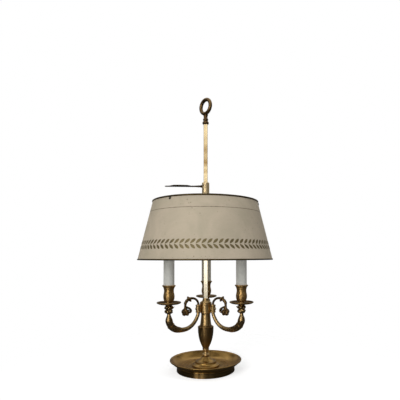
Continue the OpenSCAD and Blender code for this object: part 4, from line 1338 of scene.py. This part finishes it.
def studio_world(room):
    """White for the camera, mirrors and glass, and an even grey for the light that falls on the lamp."""
    world = bpy.data.worlds.new("studio_white")
    bpy.context.scene.world = world
    world.use_nodes = True
    tree = world.node_tree
    tree.nodes.clear()
    path = tree.nodes.new("ShaderNodeLightPath")
    seen = path.outputs["Is Camera Ray"]
    for name in ("Is Glossy Ray", "Is Transmission Ray"):
        either = tree.nodes.new("ShaderNodeMath")
        either.operation = "MAXIMUM"
        tree.links.new(seen, either.inputs[0])
        tree.links.new(path.outputs[name], either.inputs[1])
        seen = either.outputs[0]
    level = tree.nodes.new("ShaderNodeMapRange")
    tree.links.new(seen, level.inputs[0])
    level.inputs[3].default_value = room
    level.inputs[4].default_value = 1.0
    back = tree.nodes.new("ShaderNodeBackground")
    back.inputs[0].default_value = (1, 1, 1, 1)
    tree.links.new(level.outputs[0], back.inputs[1])
    out = tree.nodes.new("ShaderNodeOutputWorld")
    tree.links.new(back.outputs[0], out.inputs[0])


def set_camera(lens):
    """Camera at the height of the shade's lower edge, 0.9 m in front of the rod, turned a little to
    the right and up. The picture is shifted to where the lamp stands in the photo."""
    upright = np.pi / 2
    tilt, roll, pan = 0.03159, 0.00251, -0.0416
    eye = bpy.data.cameras.new("eye")
    eye.sensor_width = 36
    eye.lens = lens
    eye.shift_x, eye.shift_y = -0.0702, 0.1119
    thing = bpy.data.objects.new("eye", eye)
    thing.location = (0.0162, -0.9052, 0.2699)
    thing.rotation_euler = (upright + tilt, roll, pan)
    bpy.context.scene.collection.objects.link(thing)
    bpy.context.scene.camera = thing


# ---- operators --------------------------------------------------------------


class LAMP_OT_finishes(bpy.types.Operator):
    """Mixes every finish from the colours in the panel"""
    bl_idname = "lamp.finishes"
    bl_label = "Mix the finishes"

    def execute(self, context):
        tones = context.scene.lamp_finishes
        bronze_finishes(tones)
        brass_finishes(tones)
        shade_finishes(tones)
        candle_finishes(tones)
        hidden_finishes()
        return {"FINISHED"}


class LAMP_OT_stem(bpy.types.Operator):
    """Builds the tray and the turned pieces of the stem"""
    bl_idname = "lamp.stem"
    bl_label = "Tray and stem"

    def execute(self, context):
        stem_pieces(context.scene.lamp_shapes)
        return {"FINISHED"}


class LAMP_OT_ring(bpy.types.Operator):
    """Builds the ring and its base on the rod"""
    bl_idname = "lamp.ring"
    bl_label = "Ring"

    def execute(self, context):
        ring_pieces()
        return {"FINISHED"}


class LAMP_OT_arms(bpy.types.Operator):
    """Builds the horns, scrolls and clasps of the three arms"""
    bl_idname = "lamp.arms"
    bl_label = "Arms"

    def execute(self, context):
        arm_pieces()
        return {"FINISHED"}


class LAMP_OT_candles(bpy.types.Operator):
    """Builds the knops, pans, cups, sleeves and bulbs"""
    bl_idname = "lamp.candles"
    bl_label = "Candles"

    def execute(self, context):
        candle_pieces()
        return {"FINISHED"}


class LAMP_OT_shade(bpy.types.Operator):
    """Builds the painted shade with its rims, line and leaves"""
    bl_idname = "lamp.shade"
    bl_label = "Shade"

    def execute(self, context):
        shade_pieces(context.scene.lamp_shapes)
        return {"FINISHED"}


class LAMP_OT_key(bpy.types.Operator):
    """Builds the leaf key"""
    bl_idname = "lamp.key"
    bl_label = "Key"

    def execute(self, context):
        key_piece()
        return {"FINISHED"}


class LAMP_OT_kept(bpy.types.Operator):
    """Gives the CAD nodes that keep their shape their finishes"""
    bl_idname = "lamp.kept"
    bl_label = "Rod, holders and hidden pieces"

    def execute(self, context):
        dress_kept_nodes()
        return {"FINISHED"}


class LAMP_OT_stage(bpy.types.Operator):
    """Sets the floor, lights, world and camera"""
    bl_idname = "lamp.stage"
    bl_label = "Stage"

    def execute(self, context):
        stage = context.scene.lamp_stage
        context.scene.view_settings.view_transform = "Standard"
        studio_floor()
        reflected_tent(stage.front_strip)
        studio_world(stage.room)
        front_left = aimed(azimuth=243, away=1.7, height=0.75)
        right = aimed(azimuth=330, away=1.9, height=0.9)
        above = (0, -0.2, 2.0), (0, 0, 0)
        soft_light("key_panel", *front_left, (0.7, 1.2), stage.key_light)
        soft_light("fill_panel", *right, (1.0, 1.4), stage.fill_light)
        soft_light("top_panel", *above, (1.0, 1.0), stage.top_light)
        set_camera(stage.lens)
        return {"FINISHED"}


STEPS = (LAMP_OT_finishes, LAMP_OT_stem, LAMP_OT_ring, LAMP_OT_arms, LAMP_OT_candles, LAMP_OT_shade,
         LAMP_OT_key, LAMP_OT_kept, LAMP_OT_stage)


class LAMP_PT_panel(bpy.types.Panel):
    """Lists the settings and the steps of the lamp"""
    bl_idname = "LAMP_PT_panel"
    bl_label = "Bouillotte lamp"
    bl_space_type = "VIEW_3D"
    bl_region_type = "UI"
    bl_category = "Lamp"

    def draw(self, context):
        for group in (context.scene.lamp_shapes, context.scene.lamp_finishes, context.scene.lamp_stage):
            box = self.layout.box()
            for name in group.__annotations__:
                box.prop(group, name)
        for step in STEPS:
            self.layout.operator(step.bl_idname)


CLASSES = (LampShapes, LampFinishes, LampStage, *STEPS, LAMP_PT_panel)


def register():
    for each in CLASSES:
        bpy.utils.register_class(each)
    bpy.types.Scene.lamp_shapes = bpy.props.PointerProperty(type=LampShapes)
    bpy.types.Scene.lamp_finishes = bpy.props.PointerProperty(type=LampFinishes)
    bpy.types.Scene.lamp_stage = bpy.props.PointerProperty(type=LampStage)


def unregister():
    del bpy.types.Scene.lamp_shapes, bpy.types.Scene.lamp_finishes, bpy.types.Scene.lamp_stage
    for each in reversed(CLASSES):
        bpy.utils.unregister_class(each)


def main():
    """Builds the whole lamp."""
    register()
    for step in ("finishes", "stem", "ring", "arms", "candles", "shade", "key", "kept", "stage"):
        getattr(bpy.ops.lamp, step)()


if __name__ == "__main__":
    main()
